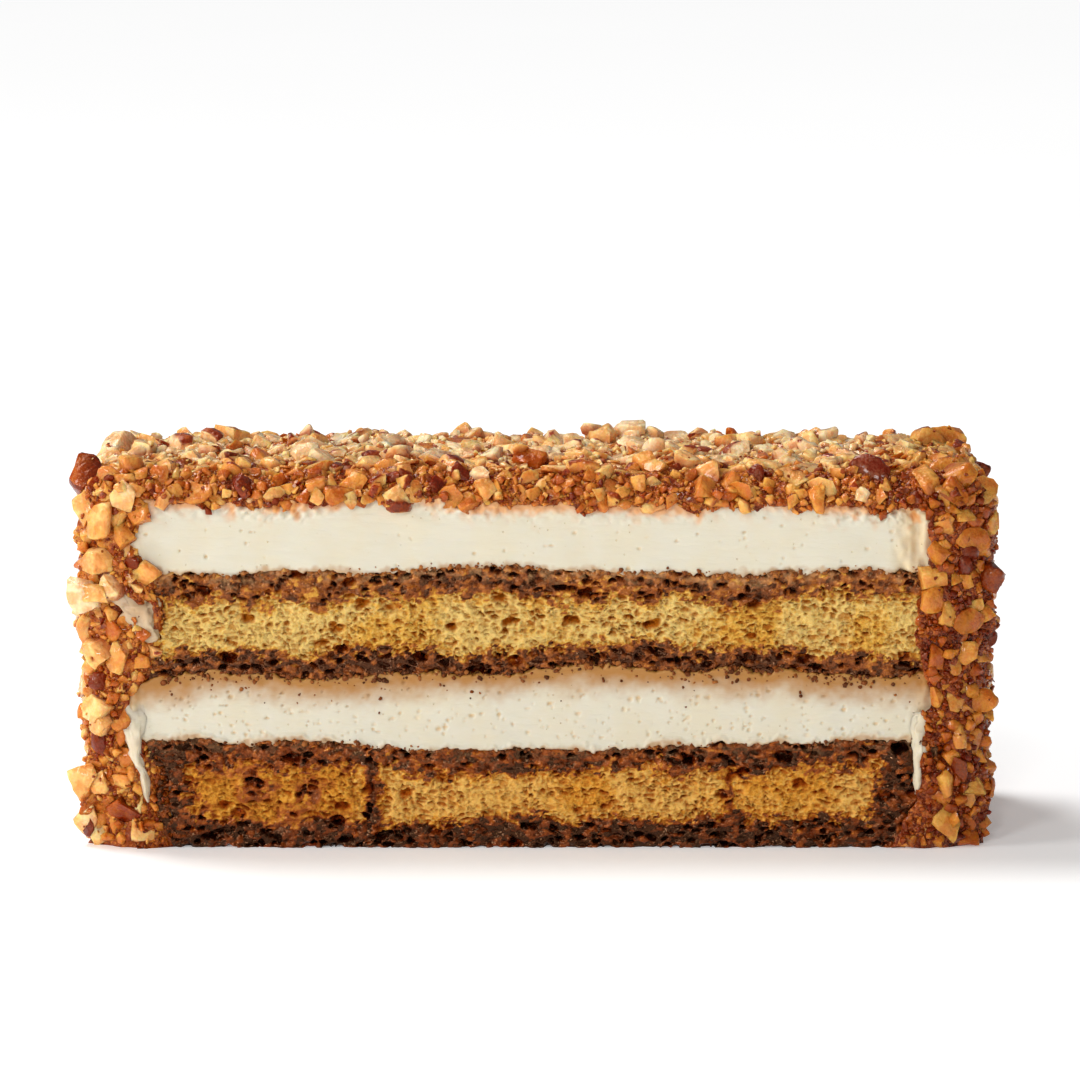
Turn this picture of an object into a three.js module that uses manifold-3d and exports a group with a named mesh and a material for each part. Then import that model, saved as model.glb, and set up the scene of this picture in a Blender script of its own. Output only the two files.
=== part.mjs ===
// A slice of almond tiramisu, cut from a bar: two coffee-soaked sponges under two layers of mascarpone
// cream, with a coat of chopped, caramelised almonds over the top and down both ends.
// Millimetres, +Z up. The cut face looks towards -Y and the bar ran along Y. The slice stands on z = 0,
// and the origin is the middle of its base.
import * as THREE from "three";
import { ConvexGeometry } from "three/addons/geometries/ConvexGeometry.js";
import { mergeVertices } from "three/addons/utils/BufferGeometryUtils.js";
import Module from "manifold-3d";

const wasm = await Module();
wasm.setup();

// Driving dimensions
const SLICE_DEPTH = 35;
const CRUST_HALF_WIDTH = 57.6;
const CRUST_TOP = 48;
const CRUST_SHOULDER_RADIUS = 5.5;
const RIM_ROUNDING = 4.2;
const RIM_ROUNDING_START = 0.25;
const RIM_ROUNDING_POWER = 1.6;
const CRUST_LUMP = 0.45;
const CRUST_INSET = 1.5;
const CREAM_MASK = 1.2;
const MASK_FOOT_LIFT = 0.8;
const MASK_OVERLAP = 1.2;
const SPONGE_SETBACK = 1;
const LAYER_GAP = 0.3;
const COAT_GAP = 0.35;
const FRONT_GAP = 0.25;

// The heights where one layer ends and the next begins. Each sags or swells in the middle, tilts
// from the left end to the right, and ripples as spread cream and pressed sponge do.
const levels = {
  base: { height: 0, swell: 0, tilt: 0, ripple: 0, phase: 0 },
  lowerSpongeTop: { height: 14.2, swell: -1.4, tilt: 0, ripple: 0.3, phase: 0.4 },
  lowerCreamTop: { height: 22.0, swell: 1.1, tilt: 0.5, ripple: 0.45, phase: 2.2 },
  upperSpongeTop: { height: 35.3, swell: 0.6, tilt: -0.1, ripple: 0.4, phase: 4.1 },
  upperCreamTop: { height: 45.2, swell: 0.1, tilt: -0.6, ripple: 0.5, phase: 5.6 },
};
const SWELL_HALF_SPAN = 50;
const LONG_WAVE = 8.5;
const SHORT_WAVE = 3.7;
const DEPTH_WAVE = 10;

// How far the almonds stand from the middle at each end. They are pressed in beside the sponges,
// and the cream layers push them out. They tuck in at the foot and under the shoulder.
const ends = {
  left: { half: 48.7, lowerBulge: 3.3, upperBulge: 2.9, footTuck: 1.2, shoulderTuck: 1.6 },
  right: { half: 50.2, lowerBulge: 1.5, upperBulge: 0.9, footTuck: 3.2, shoulderTuck: 3.4 },
};
const LOWER_BULGE_HEIGHT = 17.8;
const UPPER_BULGE_HEIGHT = 40.2;
const BULGE_REACH = 5;
const FOOT_REACH = 3.2;
const SHOULDER_START = 41.5;
const END_WAVE = 0.35;

// The chopped almonds that show, in three sizes, the largest first.
const almondSizes = [
  { longest: 7.4, count: 26 },
  { longest: 5.6, count: 84 },
  { longest: 4.2, count: 104 },
];
const ALMOND_SEED = 61;
const ALMOND_CORNERS = 8;
const ALMOND_WIDTH = 0.74;
const ALMOND_THICKNESS = 0.56;
const ALMOND_TILT = 0.75;
const ALMOND_SPACING = 0.424;
const ALMOND_TRIES = 4000;
const RIM_SHARE = 0.5;
const RIM_SINK = 0.12;
const RIM_LEAN = 0.35;
const FACE_LIFT = 0.02;

// Steps of the surfaces along X, Y and Z.
const steps = { layer: [22, 3, 4], mask: [1, 4, 7], crust: [46, 6, 3], filling: [30, 3, 22] };
const FIT_PASSES = 4;
const FLATNESS = 0.03;

const lerp = THREE.MathUtils.lerp;
const bell = (value, middle, reach) => Math.exp(-(((value - middle) / reach) ** 2));

// Numbers from 0 to 1 that are the same on every run.
function seededRandom(seed) {
  let state = seed;
  return () => {
    state = (state + 0x6d2b79f5) | 0;
    let t = Math.imul(state ^ (state >>> 15), 1 | state);
    t = (t + Math.imul(t ^ (t >>> 7), 61 | t)) ^ t;
    return ((t ^ (t >>> 14)) >>> 0) / 4294967296;
  };
}

// The height of one of the levels over the point (x, y).
function heightAt(level, x, y) {
  const across = x / SWELL_HALF_SPAN;
  const waves =
    Math.sin(x / LONG_WAVE + level.phase + y / DEPTH_WAVE) +
    0.6 * Math.sin(x / SHORT_WAVE + 2 * level.phase - y / DEPTH_WAVE);
  return level.height + level.swell * (1 - across ** 2) + level.tilt * across + level.ripple * waves;
}

// How far the almonds' inner face stands from the middle, at one end of the slice.
function innerFace(side, y, z) {
  const end = side < 0 ? ends.left : ends.right;
  const bulges =
    end.lowerBulge * bell(z, LOWER_BULGE_HEIGHT, BULGE_REACH) +
    end.upperBulge * bell(z, UPPER_BULGE_HEIGHT, BULGE_REACH);
  const foot = end.footTuck * Math.exp(-Math.max(z, 0) / FOOT_REACH);
  const shoulder = end.shoulderTuck * THREE.MathUtils.smoothstep(z, SHOULDER_START, CRUST_TOP);
  return end.half + bulges - foot - shoulder + END_WAVE * Math.sin(y / DEPTH_WAVE + z / 5 + side);
}

// How far a sponge reaches towards one end. The cream mask lies between it and the almonds.
function spongeEnd(side, y, z) {
  const end = side < 0 ? ends.left : ends.right;
  return Math.min(innerFace(side, y, z) - CREAM_MASK - LAYER_GAP, end.half - SPONGE_SETBACK);
}

// A closed geometry as a solid.
function solidFrom(geometry) {
  const bare = geometry.clone();
  bare.deleteAttribute("normal");
  bare.deleteAttribute("uv");
  const merged = mergeVertices(bare, 1e-4);
  return new wasm.Manifold(
    new wasm.Mesh({
      numProp: 3,
      vertProperties: new Float32Array(merged.attributes.position.array),
      triVerts: new Uint32Array(merged.index.array),
    }),
  );
}

// A solid as a geometry.
function geometryFrom(solid) {
  const mesh = solid.getMesh();
  const geometry = new THREE.BufferGeometry();
  geometry.setAttribute("position", new THREE.BufferAttribute(mesh.vertProperties, 3));
  geometry.setIndex(new THREE.BufferAttribute(mesh.triVerts, 1));
  geometry.computeVertexNormals();
  return geometry;
}

// A box of the given steps, with each point of it moved to place(u, v, w), where u, v and w run
// from 0 to 1 along X, Y and Z.
function shapedBox(counts, place) {
  const box = new THREE.BoxGeometry(1, 1, 1, ...counts);
  const position = box.attributes.position;
  for (let i = 0; i < position.count; i++) {
    const u = position.getX(i) + 0.5;
    const v = position.getY(i) + 0.5;
    const w = position.getZ(i) + 0.5;
    position.setXYZ(i, ...place(u, v, w));
  }
  return solidFrom(box);
}

// A layer that runs through the slice from one level to another. reach(side, y, z) is how far it
// goes towards each end.
function layer(low, high, lowGap, reach) {
  return shapedBox(steps.layer, (u, v, w) => {
    const y = (v - 0.5) * SLICE_DEPTH;
    let x = 0;
    let z = lerp(low.height, high.height, w);
    for (let pass = 0; pass < FIT_PASSES; pass++) {
      x = lerp(-reach(-1, y, z), reach(1, y, z), u);
      z = lerp(heightAt(low, x, y) + lowGap, heightAt(high, x, y) - LAYER_GAP / 2, w);
    }
    return [x, y, z];
  });
}

// The thin cream between a sponge's end and the almonds, from a lift above one level into the
// cream layer over another.
function creamMask(side, low, lift, high) {
  return shapedBox(steps.mask, (u, v, w) => {
    const y = (v - 0.5) * SLICE_DEPTH;
    const across = side * ends[side < 0 ? "left" : "right"].half;
    const z = lerp(heightAt(low, across, y) + lift, heightAt(high, across, y) + MASK_OVERLAP, w);
    const inner = side * (spongeEnd(side, y, z) + LAYER_GAP);
    const outer = side * innerFace(side, y, z);
    return [side < 0 ? lerp(outer, inner, u) : lerp(inner, outer, u), y, z];
  });
}

// A cream layer with the mask that runs down from it over both ends of the sponge under it.
function creamLayer(low, high, maskLow, maskLift) {
  const slab = layer(low, high, LAYER_GAP / 2, innerFace);
  return slab.add(creamMask(-1, maskLow, maskLift, low)).add(creamMask(1, maskLow, maskLift, low));
}

// A point of the crust under the almond pieces. u runs up the left end, over the top and down the
// right end, v runs through the depth and w from the inside out. Both rims are rounded.
function crustPoint(u, v, w) {
  const legShare = 0.19;
  const cornerShare = 0.05;
  const side = u < 0.5 ? -1 : 1;
  const along = u < 0.5 ? u : 1 - u;
  const shoulder = CRUST_TOP - CRUST_SHOULDER_RADIUS;
  const rounding = Math.max(0, w - RIM_ROUNDING_START) ** RIM_ROUNDING_POWER;
  const y = (v - 0.5) * (SLICE_DEPTH - 2 * RIM_ROUNDING * rounding);
  const innerTop = levels.upperCreamTop.height - CRUST_INSET;
  const innerSide = (z) => innerFace(side, y, z) - CRUST_INSET;
  const lump = (a, b) => CRUST_LUMP * Math.sin(a / 2.9 + b / 2.3) * Math.sin(a / 4.7 - b / 3.1 + 1);
  let inner;
  let outer;
  if (along < legShare) {
    const z = (along / legShare) * shoulder;
    inner = [innerSide(z), z];
    outer = [CRUST_HALF_WIDTH + lump(z, y), z];
  } else if (along < legShare + cornerShare) {
    const turn = ((along - legShare) / cornerShare) * (Math.PI / 2);
    const centre = CRUST_HALF_WIDTH - CRUST_SHOULDER_RADIUS;
    inner = [innerSide(shoulder), lerp(shoulder, innerTop, Math.sin(turn))];
    outer = [
      centre + CRUST_SHOULDER_RADIUS * Math.cos(turn),
      shoulder + CRUST_SHOULDER_RADIUS * Math.sin(turn),
    ];
  } else {
    const share = (along - legShare - cornerShare) / (0.5 - legShare - cornerShare);
    const x = (CRUST_HALF_WIDTH - CRUST_SHOULDER_RADIUS) * (1 - share);
    inner = [innerSide(shoulder) * (1 - share), innerTop];
    outer = [x, CRUST_TOP + lump(side * x, y)];
  }
  return [side * lerp(inner[0], outer[0], w), y, lerp(inner[1], outer[1], w)];
}

// The way out of the crust at a point of it, found from its neighbours.
function crustNormal(u, v, w) {
  const step = 0.004;
  const at = (a, b) => new THREE.Vector3(...crustPoint(a, b, w));
  const alongPath = at(u + step, v).sub(at(u - step, v));
  const alongDepth = at(u, v + step).sub(at(u, v - step));
  return alongPath.cross(alongDepth).normalize();
}

// A chopped piece of almond: an irregular block with flat cut faces.
function almondPiece(random, longest) {
  const reach = new THREE.Vector3(1, ALMOND_WIDTH, ALMOND_THICKNESS).multiplyScalar(longest / 2);
  const corners = [];
  for (let i = 0; i < ALMOND_CORNERS; i++) {
    const octant = [i & 1, i & 2, i & 4].map((bit) => (bit ? 1 : -1));
    const corner = new THREE.Vector3(...octant.map((sign) => sign * (0.55 + 0.45 * random())));
    corners.push(corner.multiply(reach));
  }
  return new ConvexGeometry(corners);
}

// Where the pieces go: spread evenly over the crust's outside and its two cut rims, the largest
// first, each clear of the ones before it.
function almondPlaces(random) {
  const places = [];
  for (const { longest, count } of almondSizes) {
    for (let made = 0, tries = 0; made < count && tries < ALMOND_TRIES; tries++) {
      const onRim = longest < almondSizes[0].longest && random() < RIM_SHARE;
      const u = lerp(0.02, 0.98, random());
      const v = onRim ? Math.round(random()) : lerp(0.04, 0.96, random());
      const w = onRim ? lerp(0.35, 0.95, random()) : 1;
      const point = new THREE.Vector3(...crustPoint(u, v, w));
      const clear = places.every(
        (other) => other.point.distanceTo(point) > ALMOND_SPACING * (other.longest + longest),
      );
      if (!clear) continue;
      const normal = crustNormal(u, THREE.MathUtils.clamp(v, 0.01, 0.99), w);
      if (onRim) normal.multiplyScalar(RIM_LEAN).add(new THREE.Vector3(0, v < 0.5 ? -1 : 1, 0)).normalize();
      places.push({ point, normal, longest, onRim });
      made++;
    }
  }
  return places;
}

// The crust with its almonds, cut to the layers that it covers and to the surface it stands on.
function almondCoat() {
  const random = seededRandom(ALMOND_SEED);
  const up = new THREE.Vector3(0, 0, 1);
  const parts = [shapedBox(steps.crust, crustPoint)];
  for (const { point, normal, longest, onRim } of almondPlaces(random)) {
    const geometry = almondPiece(random, longest * lerp(0.88, 1.08, random()));
    const turn = new THREE.Quaternion().setFromAxisAngle(up, random() * 2 * Math.PI);
    const tilt = new THREE.Euler((random() - 0.5) * ALMOND_TILT, (random() - 0.5) * ALMOND_TILT, 0);
    const lie = new THREE.Quaternion().setFromUnitVectors(up, normal);
    geometry.applyQuaternion(lie.multiply(new THREE.Quaternion().setFromEuler(tilt)).multiply(turn));
    const raised = point.addScaledVector(normal, longest * (onRim ? -RIM_SINK : FACE_LIFT));
    geometry.translate(raised.x, raised.y, raised.z);
    parts.push(solidFrom(geometry));
  }
  const whole = parts.reduce((sum, piece) => sum.add(piece));
  const filling = shapedBox(steps.filling, (u, v, w) => {
    const y = (v - 0.5) * (SLICE_DEPTH + 2 * FRONT_GAP);
    let x = 0;
    let z = 0;
    for (let pass = 0; pass < FIT_PASSES; pass++) {
      x = lerp(-innerFace(-1, y, z) - COAT_GAP, innerFace(1, y, z) + COAT_GAP, u);
      z = lerp(-1, heightAt(levels.upperCreamTop, x, y) + LAYER_GAP / 2, w);
    }
    return [x, y, z];
  });
  const ground = new THREE.BoxGeometry(200, 100, 20).translate(0, 0, -10);
  const trimmed = whole.subtract(filling).subtract(solidFrom(ground)).simplify(FLATNESS);
  return trimmed.decompose().reduce((most, piece) => (piece.volume() > most.volume() ? piece : most));
}

const finishes = {
  sponge: new THREE.MeshStandardMaterial({ color: 0x8a5a28, roughness: 0.85, metalness: 0 }),
  cream: new THREE.MeshStandardMaterial({ color: 0xefe6cf, roughness: 0.45, metalness: 0 }),
  almond: new THREE.MeshStandardMaterial({ color: 0xd08a45, roughness: 0.4, metalness: 0 }),
};

const solids = [
  ["sponge_lower", "sponge", layer(levels.base, levels.lowerSpongeTop, 0, spongeEnd)],
  ["sponge_upper", "sponge", layer(levels.lowerCreamTop, levels.upperSpongeTop, LAYER_GAP / 2, spongeEnd)],
  [
    "cream_lower",
    "cream",
    creamLayer(levels.lowerSpongeTop, levels.lowerCreamTop, levels.base, MASK_FOOT_LIFT),
  ],
  [
    "cream_upper",
    "cream",
    creamLayer(levels.upperSpongeTop, levels.upperCreamTop, levels.lowerCreamTop, LAYER_GAP),
  ],
  ["almond_coat", "almond", almondCoat()],
];

const group = new THREE.Group();
for (const [name, finish, solid] of solids) {
  const mesh = new THREE.Mesh(geometryFrom(solid), finishes[finish]);
  mesh.name = name;
  group.add(mesh);
}

// The almonds at the two ends differ a little, so the slice is centred on its own bounds.
const bounds = new THREE.Box3().setFromObject(group);
const centre = bounds.getCenter(new THREE.Vector3());
group.position.set(-centre.x, -centre.y, 0);

export default group;
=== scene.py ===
import logging
import math
from dataclasses import dataclass, field
from enum import Enum
from typing import Callable

import bmesh
import bpy
import numpy as np
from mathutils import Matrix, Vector
from mathutils.bvhtree import BVHTree


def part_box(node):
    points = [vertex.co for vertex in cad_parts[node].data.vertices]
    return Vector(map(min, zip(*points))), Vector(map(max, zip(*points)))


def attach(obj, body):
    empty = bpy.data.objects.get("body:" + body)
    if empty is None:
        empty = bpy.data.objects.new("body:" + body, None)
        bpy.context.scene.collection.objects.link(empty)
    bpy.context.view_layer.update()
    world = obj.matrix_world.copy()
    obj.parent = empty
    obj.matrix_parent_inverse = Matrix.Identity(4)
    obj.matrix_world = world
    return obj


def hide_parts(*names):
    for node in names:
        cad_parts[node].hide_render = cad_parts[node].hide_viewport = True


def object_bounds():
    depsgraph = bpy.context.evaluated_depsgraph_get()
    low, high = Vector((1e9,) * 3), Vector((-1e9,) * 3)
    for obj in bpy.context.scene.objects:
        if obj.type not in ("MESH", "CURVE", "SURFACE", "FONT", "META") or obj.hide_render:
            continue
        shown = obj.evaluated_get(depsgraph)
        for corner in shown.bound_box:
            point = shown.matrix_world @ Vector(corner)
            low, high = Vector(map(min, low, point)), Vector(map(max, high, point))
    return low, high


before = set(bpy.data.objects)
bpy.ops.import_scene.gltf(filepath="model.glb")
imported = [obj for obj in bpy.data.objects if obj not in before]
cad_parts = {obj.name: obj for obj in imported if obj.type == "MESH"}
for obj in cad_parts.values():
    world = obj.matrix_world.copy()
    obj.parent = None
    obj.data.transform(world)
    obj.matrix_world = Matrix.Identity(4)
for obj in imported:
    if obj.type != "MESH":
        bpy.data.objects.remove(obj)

# A slice of almond tiramisu. Sizes are in millimetres until a mesh is made, and the places are
# those of the part's source: the cut face looks towards -Y, and the slice stands on Z = 0.
LOG = logging.getLogger("almond_tiramisu")
MM = 0.001
CAD_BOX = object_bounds()
ROOT = "root"
PHOTO_PIXELS = 1080
CUT_FACES = ((0.0, -1.0), (1.0, 1.0))  # v and the way out, at the front and at the back
Array = np.ndarray
Triple = tuple[float, float, float]
Colour = Triple
Counts = tuple[int, int, int]
Values = dict[str, Array]  # a number for each point, under each name
Shell = tuple[Array, Array, Values]  # points, faces and what the points carry
Placing = Callable[[Array, Array, Array], Array]  # gives points for u, v and w
WHITE = (1.0, 1.0, 1.0)


def smooth(value: Array, low: float, high: float) -> Array:
    """A soft step.

    Args:
        value: the numbers to judge.
        low: where the step starts, at 0.
        high: where it ends, at 1. It may be less than low.

    Returns:
        The step's height at each value, from 0 to 1.
    """
    share = np.clip((value - low) / (high - low), 0.0, 1.0)
    return share * share * (3.0 - 2.0 * share)


def linear(colour: Colour) -> tuple[float, float, float, float]:
    """A screen colour as scene light.

    Args:
        colour: red, green and blue from 0 to 255.

    Returns:
        The same colour in linear light, with an alpha of 1.
    """
    shares = [c / 255.0 for c in colour]
    light = [s / 12.92 if s <= 0.04045 else ((s + 0.055) / 1.055) ** 2.4 for s in shares]
    return (light[0], light[1], light[2], 1.0)


def place_object(name: str, data: bpy.types.ID) -> bpy.types.Object:
    """Puts a mesh, lamp or camera in the scene as an object of that name."""
    made = bpy.data.objects.new(name, data)
    bpy.context.scene.collection.objects.link(made)
    return made


def carry(mesh: bpy.types.Mesh, values: Values) -> None:
    """Gives a mesh's points a number each under every name in values."""
    for label, numbers in values.items():
        attribute = mesh.attributes.new(label, "FLOAT", "POINT")
        attribute.data.foreach_set("value", np.asarray(numbers, np.float32))


def inside_box(points: Array) -> Array:
    """Points in metres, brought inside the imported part's own box."""
    low, high = (np.array(corner) for corner in CAD_BOX)
    return np.clip(points, low, high)


def report(piece: bpy.types.Object) -> None:
    """Notes a finished piece in the log."""
    LOG.info("%s: %d faces", piece.name, len(piece.data.polygons))


class ValueNoise:
    """Smooth random values in space, the same on every run."""

    TABLE = 32

    def __init__(self, seed: int) -> None:
        """Draws the table of random values.

        Args:
            seed: what the values are drawn from.
        """
        self.table = np.random.default_rng(seed).random((self.TABLE,) * 3) * 2.0 - 1.0

    def at(self, points: Array, size: float | Triple) -> Array:
        """The noise at some points.

        Args:
            points: an N by 3 array.
            size: how wide one swell of the noise is, the same each way or along X, Y and Z.

        Returns:
            N values from -1 to 1.
        """
        place = points / np.asarray(size, float)
        cell = np.floor(place).astype(int)
        part = place - cell
        part = part * part * (3.0 - 2.0 * part)
        total = np.zeros(len(points))
        for corner in range(8):
            step = np.array([corner & 1, corner >> 1 & 1, corner >> 2 & 1])
            weight = np.where(step == 1, part, 1.0 - part).prod(axis=1)
            index = (cell + step) % self.TABLE
            total += weight * self.table[index[:, 0], index[:, 1], index[:, 2]]
        return total

    def mix(self, points: Array, *parts: tuple[float, float | Triple]) -> Array:
        """The noise at some points, added up from parts that have a weight and a size each."""
        return sum(weight * self.at(points, size) for weight, size in parts)


class CellPattern:
    """Irregular cells over a face, like the bubbles in a sponge."""

    TABLE = 128
    FURTHEST = 9.0

    def __init__(self, seed: int, width: float, height: float) -> None:
        """Draws the cells.

        Args:
            seed: what the cells are drawn from.
            width: the mean width of a cell.
            height: its mean height.
        """
        random = np.random.default_rng(seed)
        self.middles = random.random((self.TABLE, self.TABLE, 2)) * 0.9 + 0.05
        self.values = random.random((self.TABLE, self.TABLE))
        self.size = (width, height)

    def at(self, x: Array, z: Array) -> tuple[Array, Array, Array]:
        """Where points of the face lie in their cells.

        Args:
            x: how far along the face each point is.
            z: how high it is.

        Returns:
            The distance to the cell's middle, how much further the next cell's middle is, and a
            value from 0 to 1 that each cell has of its own.
        """
        across, up = x / self.size[0], z / self.size[1]
        column, row = np.floor(across).astype(int), np.floor(up).astype(int)
        nearest, second = np.full(x.shape, self.FURTHEST), np.full(x.shape, self.FURTHEST)
        value = np.zeros(x.shape)
        for step_x in (-1, 0, 1):
            for step_z in (-1, 0, 1):
                i, j = (column + step_x) % self.TABLE, (row + step_z) % self.TABLE
                middle = self.middles[i, j]
                away = np.hypot(
                    column + step_x + middle[..., 0] - across,
                    row + step_z + middle[..., 1] - up,
                )
                nearer = away < nearest
                second = np.where(nearer, nearest, np.minimum(second, away))
                value = np.where(nearer, self.values[i, j], value)
                nearest = np.where(nearer, away, nearest)
        return nearest, second - nearest, value


@dataclass(frozen=True)
class Level:
    """A height where one layer ends and the next begins."""

    height: float
    swell: float = 0.0
    tilt: float = 0.0
    ripple: float = 0.0
    phase: float = 0.0


@dataclass(frozen=True)
class End:
    """How the almonds' inner face runs at one end of the slice."""

    half: float
    lower_bulge: float
    upper_bulge: float
    foot_tuck: float
    shoulder_tuck: float


@dataclass(frozen=True)
class SliceShape:
    """The form of the slice, as the part's source has it."""

    depth: float = 35.0
    crust_half_width: float = 57.6
    crust_top: float = 48.0
    shoulder_radius: float = 5.5
    rim_rounding: float = 4.2
    crust_inset: float = 1.5
    mask: float = 1.2  # the thin cream over the sponges' ends
    layer_gap: float = 0.3
    setback: float = 1.0  # how far the sponges stop short of the ends
    leg_share: float = 0.19  # each end's part of the way round the crust
    corner_share: float = 0.05  # each shoulder's part of it
    settling: int = 4  # rounds in which x and z are fitted to each other
    base: Level = Level(0.0)
    lower_sponge_top: Level = Level(14.2, -1.4, 0.0, 0.3, 0.4)
    lower_cream_top: Level = Level(22.0, 1.1, 0.5, 0.45, 2.2)
    upper_sponge_top: Level = Level(35.3, 0.6, -0.1, 0.4, 4.1)
    upper_cream_top: Level = Level(45.2, 0.1, -0.6, 0.5, 5.6)
    left: End = End(48.7, 3.3, 2.9, 1.2, 1.6)
    right: End = End(50.2, 1.5, 0.9, 3.2, 3.4)

    def height(self, level: Level, x: Array, y: Array) -> Array:
        """The height of a level over each point (x, y)."""
        across = x / 50.0
        waves = np.sin(x / 8.5 + level.phase + y / 10.0)
        waves = waves + 0.6 * np.sin(x / 3.7 + 2.0 * level.phase - y / 10.0)
        shape = level.swell * (1.0 - across**2) + level.tilt * across
        return level.height + shape + level.ripple * waves

    def inner_face(self, side: int, y: Array, z: Array) -> Array:
        """How far the almonds' inner face stands from the middle, at one end of the slice."""
        end = self.left if side < 0 else self.right
        bulges = end.lower_bulge * np.exp(-(((z - 17.8) / 5.0) ** 2))
        bulges = bulges + end.upper_bulge * np.exp(-(((z - 40.2) / 5.0) ** 2))
        foot = end.foot_tuck * np.exp(-np.maximum(z, 0.0) / 3.2)
        shoulder = end.shoulder_tuck * smooth(z, 41.5, self.crust_top)
        return end.half + bulges - foot - shoulder + 0.35 * np.sin(y / 10.0 + z / 5.0 + side)

    def sponge_end(self, side: int, y: Array, z: Array) -> Array:
        """How far a sponge reaches towards one end."""
        end = self.left if side < 0 else self.right
        reach = self.inner_face(side, y, z) - self.mask - self.layer_gap
        return np.minimum(reach, end.half - self.setback)

    def offset(self) -> Array:
        """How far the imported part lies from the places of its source, in millimetres."""
        low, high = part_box("sponge_lower")
        across = low.x / MM + self.left.half - self.setback
        return np.array([across, (low.y + high.y) / 2.0 / MM, 0.0])

    def layer(
        self,
        levels: tuple[Level, Level],
        lifts: tuple[float, float],
        reach: Callable[[int, Array, Array], Array],
        spot: tuple[Array, Array, Array],
    ) -> Array:
        """Points of a layer between two levels.

        Args:
            levels: the levels under and over the layer.
            lifts: how far the layer's underside and its top stand above those.
            reach: how far the layer reaches at an end of the slice, for the end, y and z.
            spot: each point's u, v and w in the layer, from 0 to 1.

        Returns:
            An N by 3 array of points.
        """
        u, v, w = spot
        low, high = levels
        y = (v - 0.5) * self.depth
        z = low.height + (high.height - low.height) * w
        x = np.zeros_like(u)
        for _ in range(self.settling):
            left = -reach(-1, y, z)
            x = left + (reach(1, y, z) - left) * u
            bottom = self.height(low, x, y) + lifts[0]
            z = bottom + (self.height(high, x, y) + lifts[1] - bottom) * w
        return np.stack([x, y, z], axis=1)

    def crust(self, u: Array, v: Array, w: Array) -> Array:
        """Points of the crust under the almond pieces.

        Args:
            u: from 0 at the foot of the left end, over the top, to 1 at the foot of the right.
            v: from 0 at the front to 1 at the back.
            w: from 0 inside to 1 outside.

        Returns:
            An N by 3 array of points.
        """
        leg, corner = self.leg_share, self.corner_share
        side = np.where(u < 0.5, -1.0, 1.0)
        along = np.where(u < 0.5, u, 1.0 - u)
        shoulder = self.crust_top - self.shoulder_radius
        straight = self.crust_half_width - self.shoulder_radius
        rounding = np.maximum(0.0, w - 0.25) ** 1.6
        y = (v - 0.5) * (self.depth - 2.0 * self.rim_rounding * rounding)
        inner_top = self.upper_cream_top.height - self.crust_inset

        def inner_side(z: Array) -> Array:
            """How far the crust's inside stands from the middle at a height."""
            faces = [self.inner_face(s, y, z) for s in (-1, 1)]
            return np.where(side < 0, faces[0], faces[1]) - self.crust_inset

        def lump(a: Array, b: Array) -> Array:
            """Low swells of the crust's outside."""
            return 0.45 * np.sin(a / 2.9 + b / 2.3) * np.sin(a / 4.7 - b / 3.1 + 1.0)

        leg_z = along / leg * shoulder
        turn = (along - leg) / corner * (math.pi / 2.0)
        share = (along - leg - corner) / (0.5 - leg - corner)
        top_x = straight * (1.0 - share)
        at_shoulder = inner_side(np.full_like(u, shoulder))
        zones = [along < leg, along < leg + corner]
        inner_x = np.select(zones, [inner_side(leg_z), at_shoulder], at_shoulder * (1.0 - share))
        bend = shoulder + (inner_top - shoulder) * np.sin(turn)
        inner_z = np.select(zones, [leg_z, bend], inner_top)
        outer_x = np.select(
            zones,
            [
                self.crust_half_width + lump(leg_z, y),
                straight + self.shoulder_radius * np.cos(turn),
            ],
            top_x,
        )
        outer_z = np.select(
            zones,
            [leg_z, shoulder + self.shoulder_radius * np.sin(turn)],
            self.crust_top + lump(side * top_x, y),
        )
        x = side * (inner_x + (outer_x - inner_x) * w)
        return np.stack([x, y, inner_z + (outer_z - inner_z) * w], axis=1)

    def crust_normal(self, u: Array, v: Array, w: Array) -> Array:
        """The way out of the crust at points of it, as an N by 3 array."""
        step = 0.004
        path = self.crust(u + step, v, w) - self.crust(u - step, v, w)
        across = self.crust(u, v + step, w) - self.crust(u, v - step, w)
        normal = np.cross(path, across)
        return normal / np.linalg.norm(normal, axis=1, keepdims=True)


SHAPE = SliceShape()
OFFSET = SHAPE.offset()
ROOM = [np.array(corner) / MM - OFFSET for corner in CAD_BOX]
PIECE_REACH = 0.4  # how far a piece reaches from its middle, against its length
FALL = 9.0  # how far off the crust a piece starts its fall


def inside_room(spot: Array, size: float) -> Array:
    """The spot for a piece, moved so that a piece of that size stays in the part's box."""
    reach = size * PIECE_REACH
    return np.clip(spot, ROOM[0] + [reach, reach, 0.0], ROOM[1] - reach)


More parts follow.
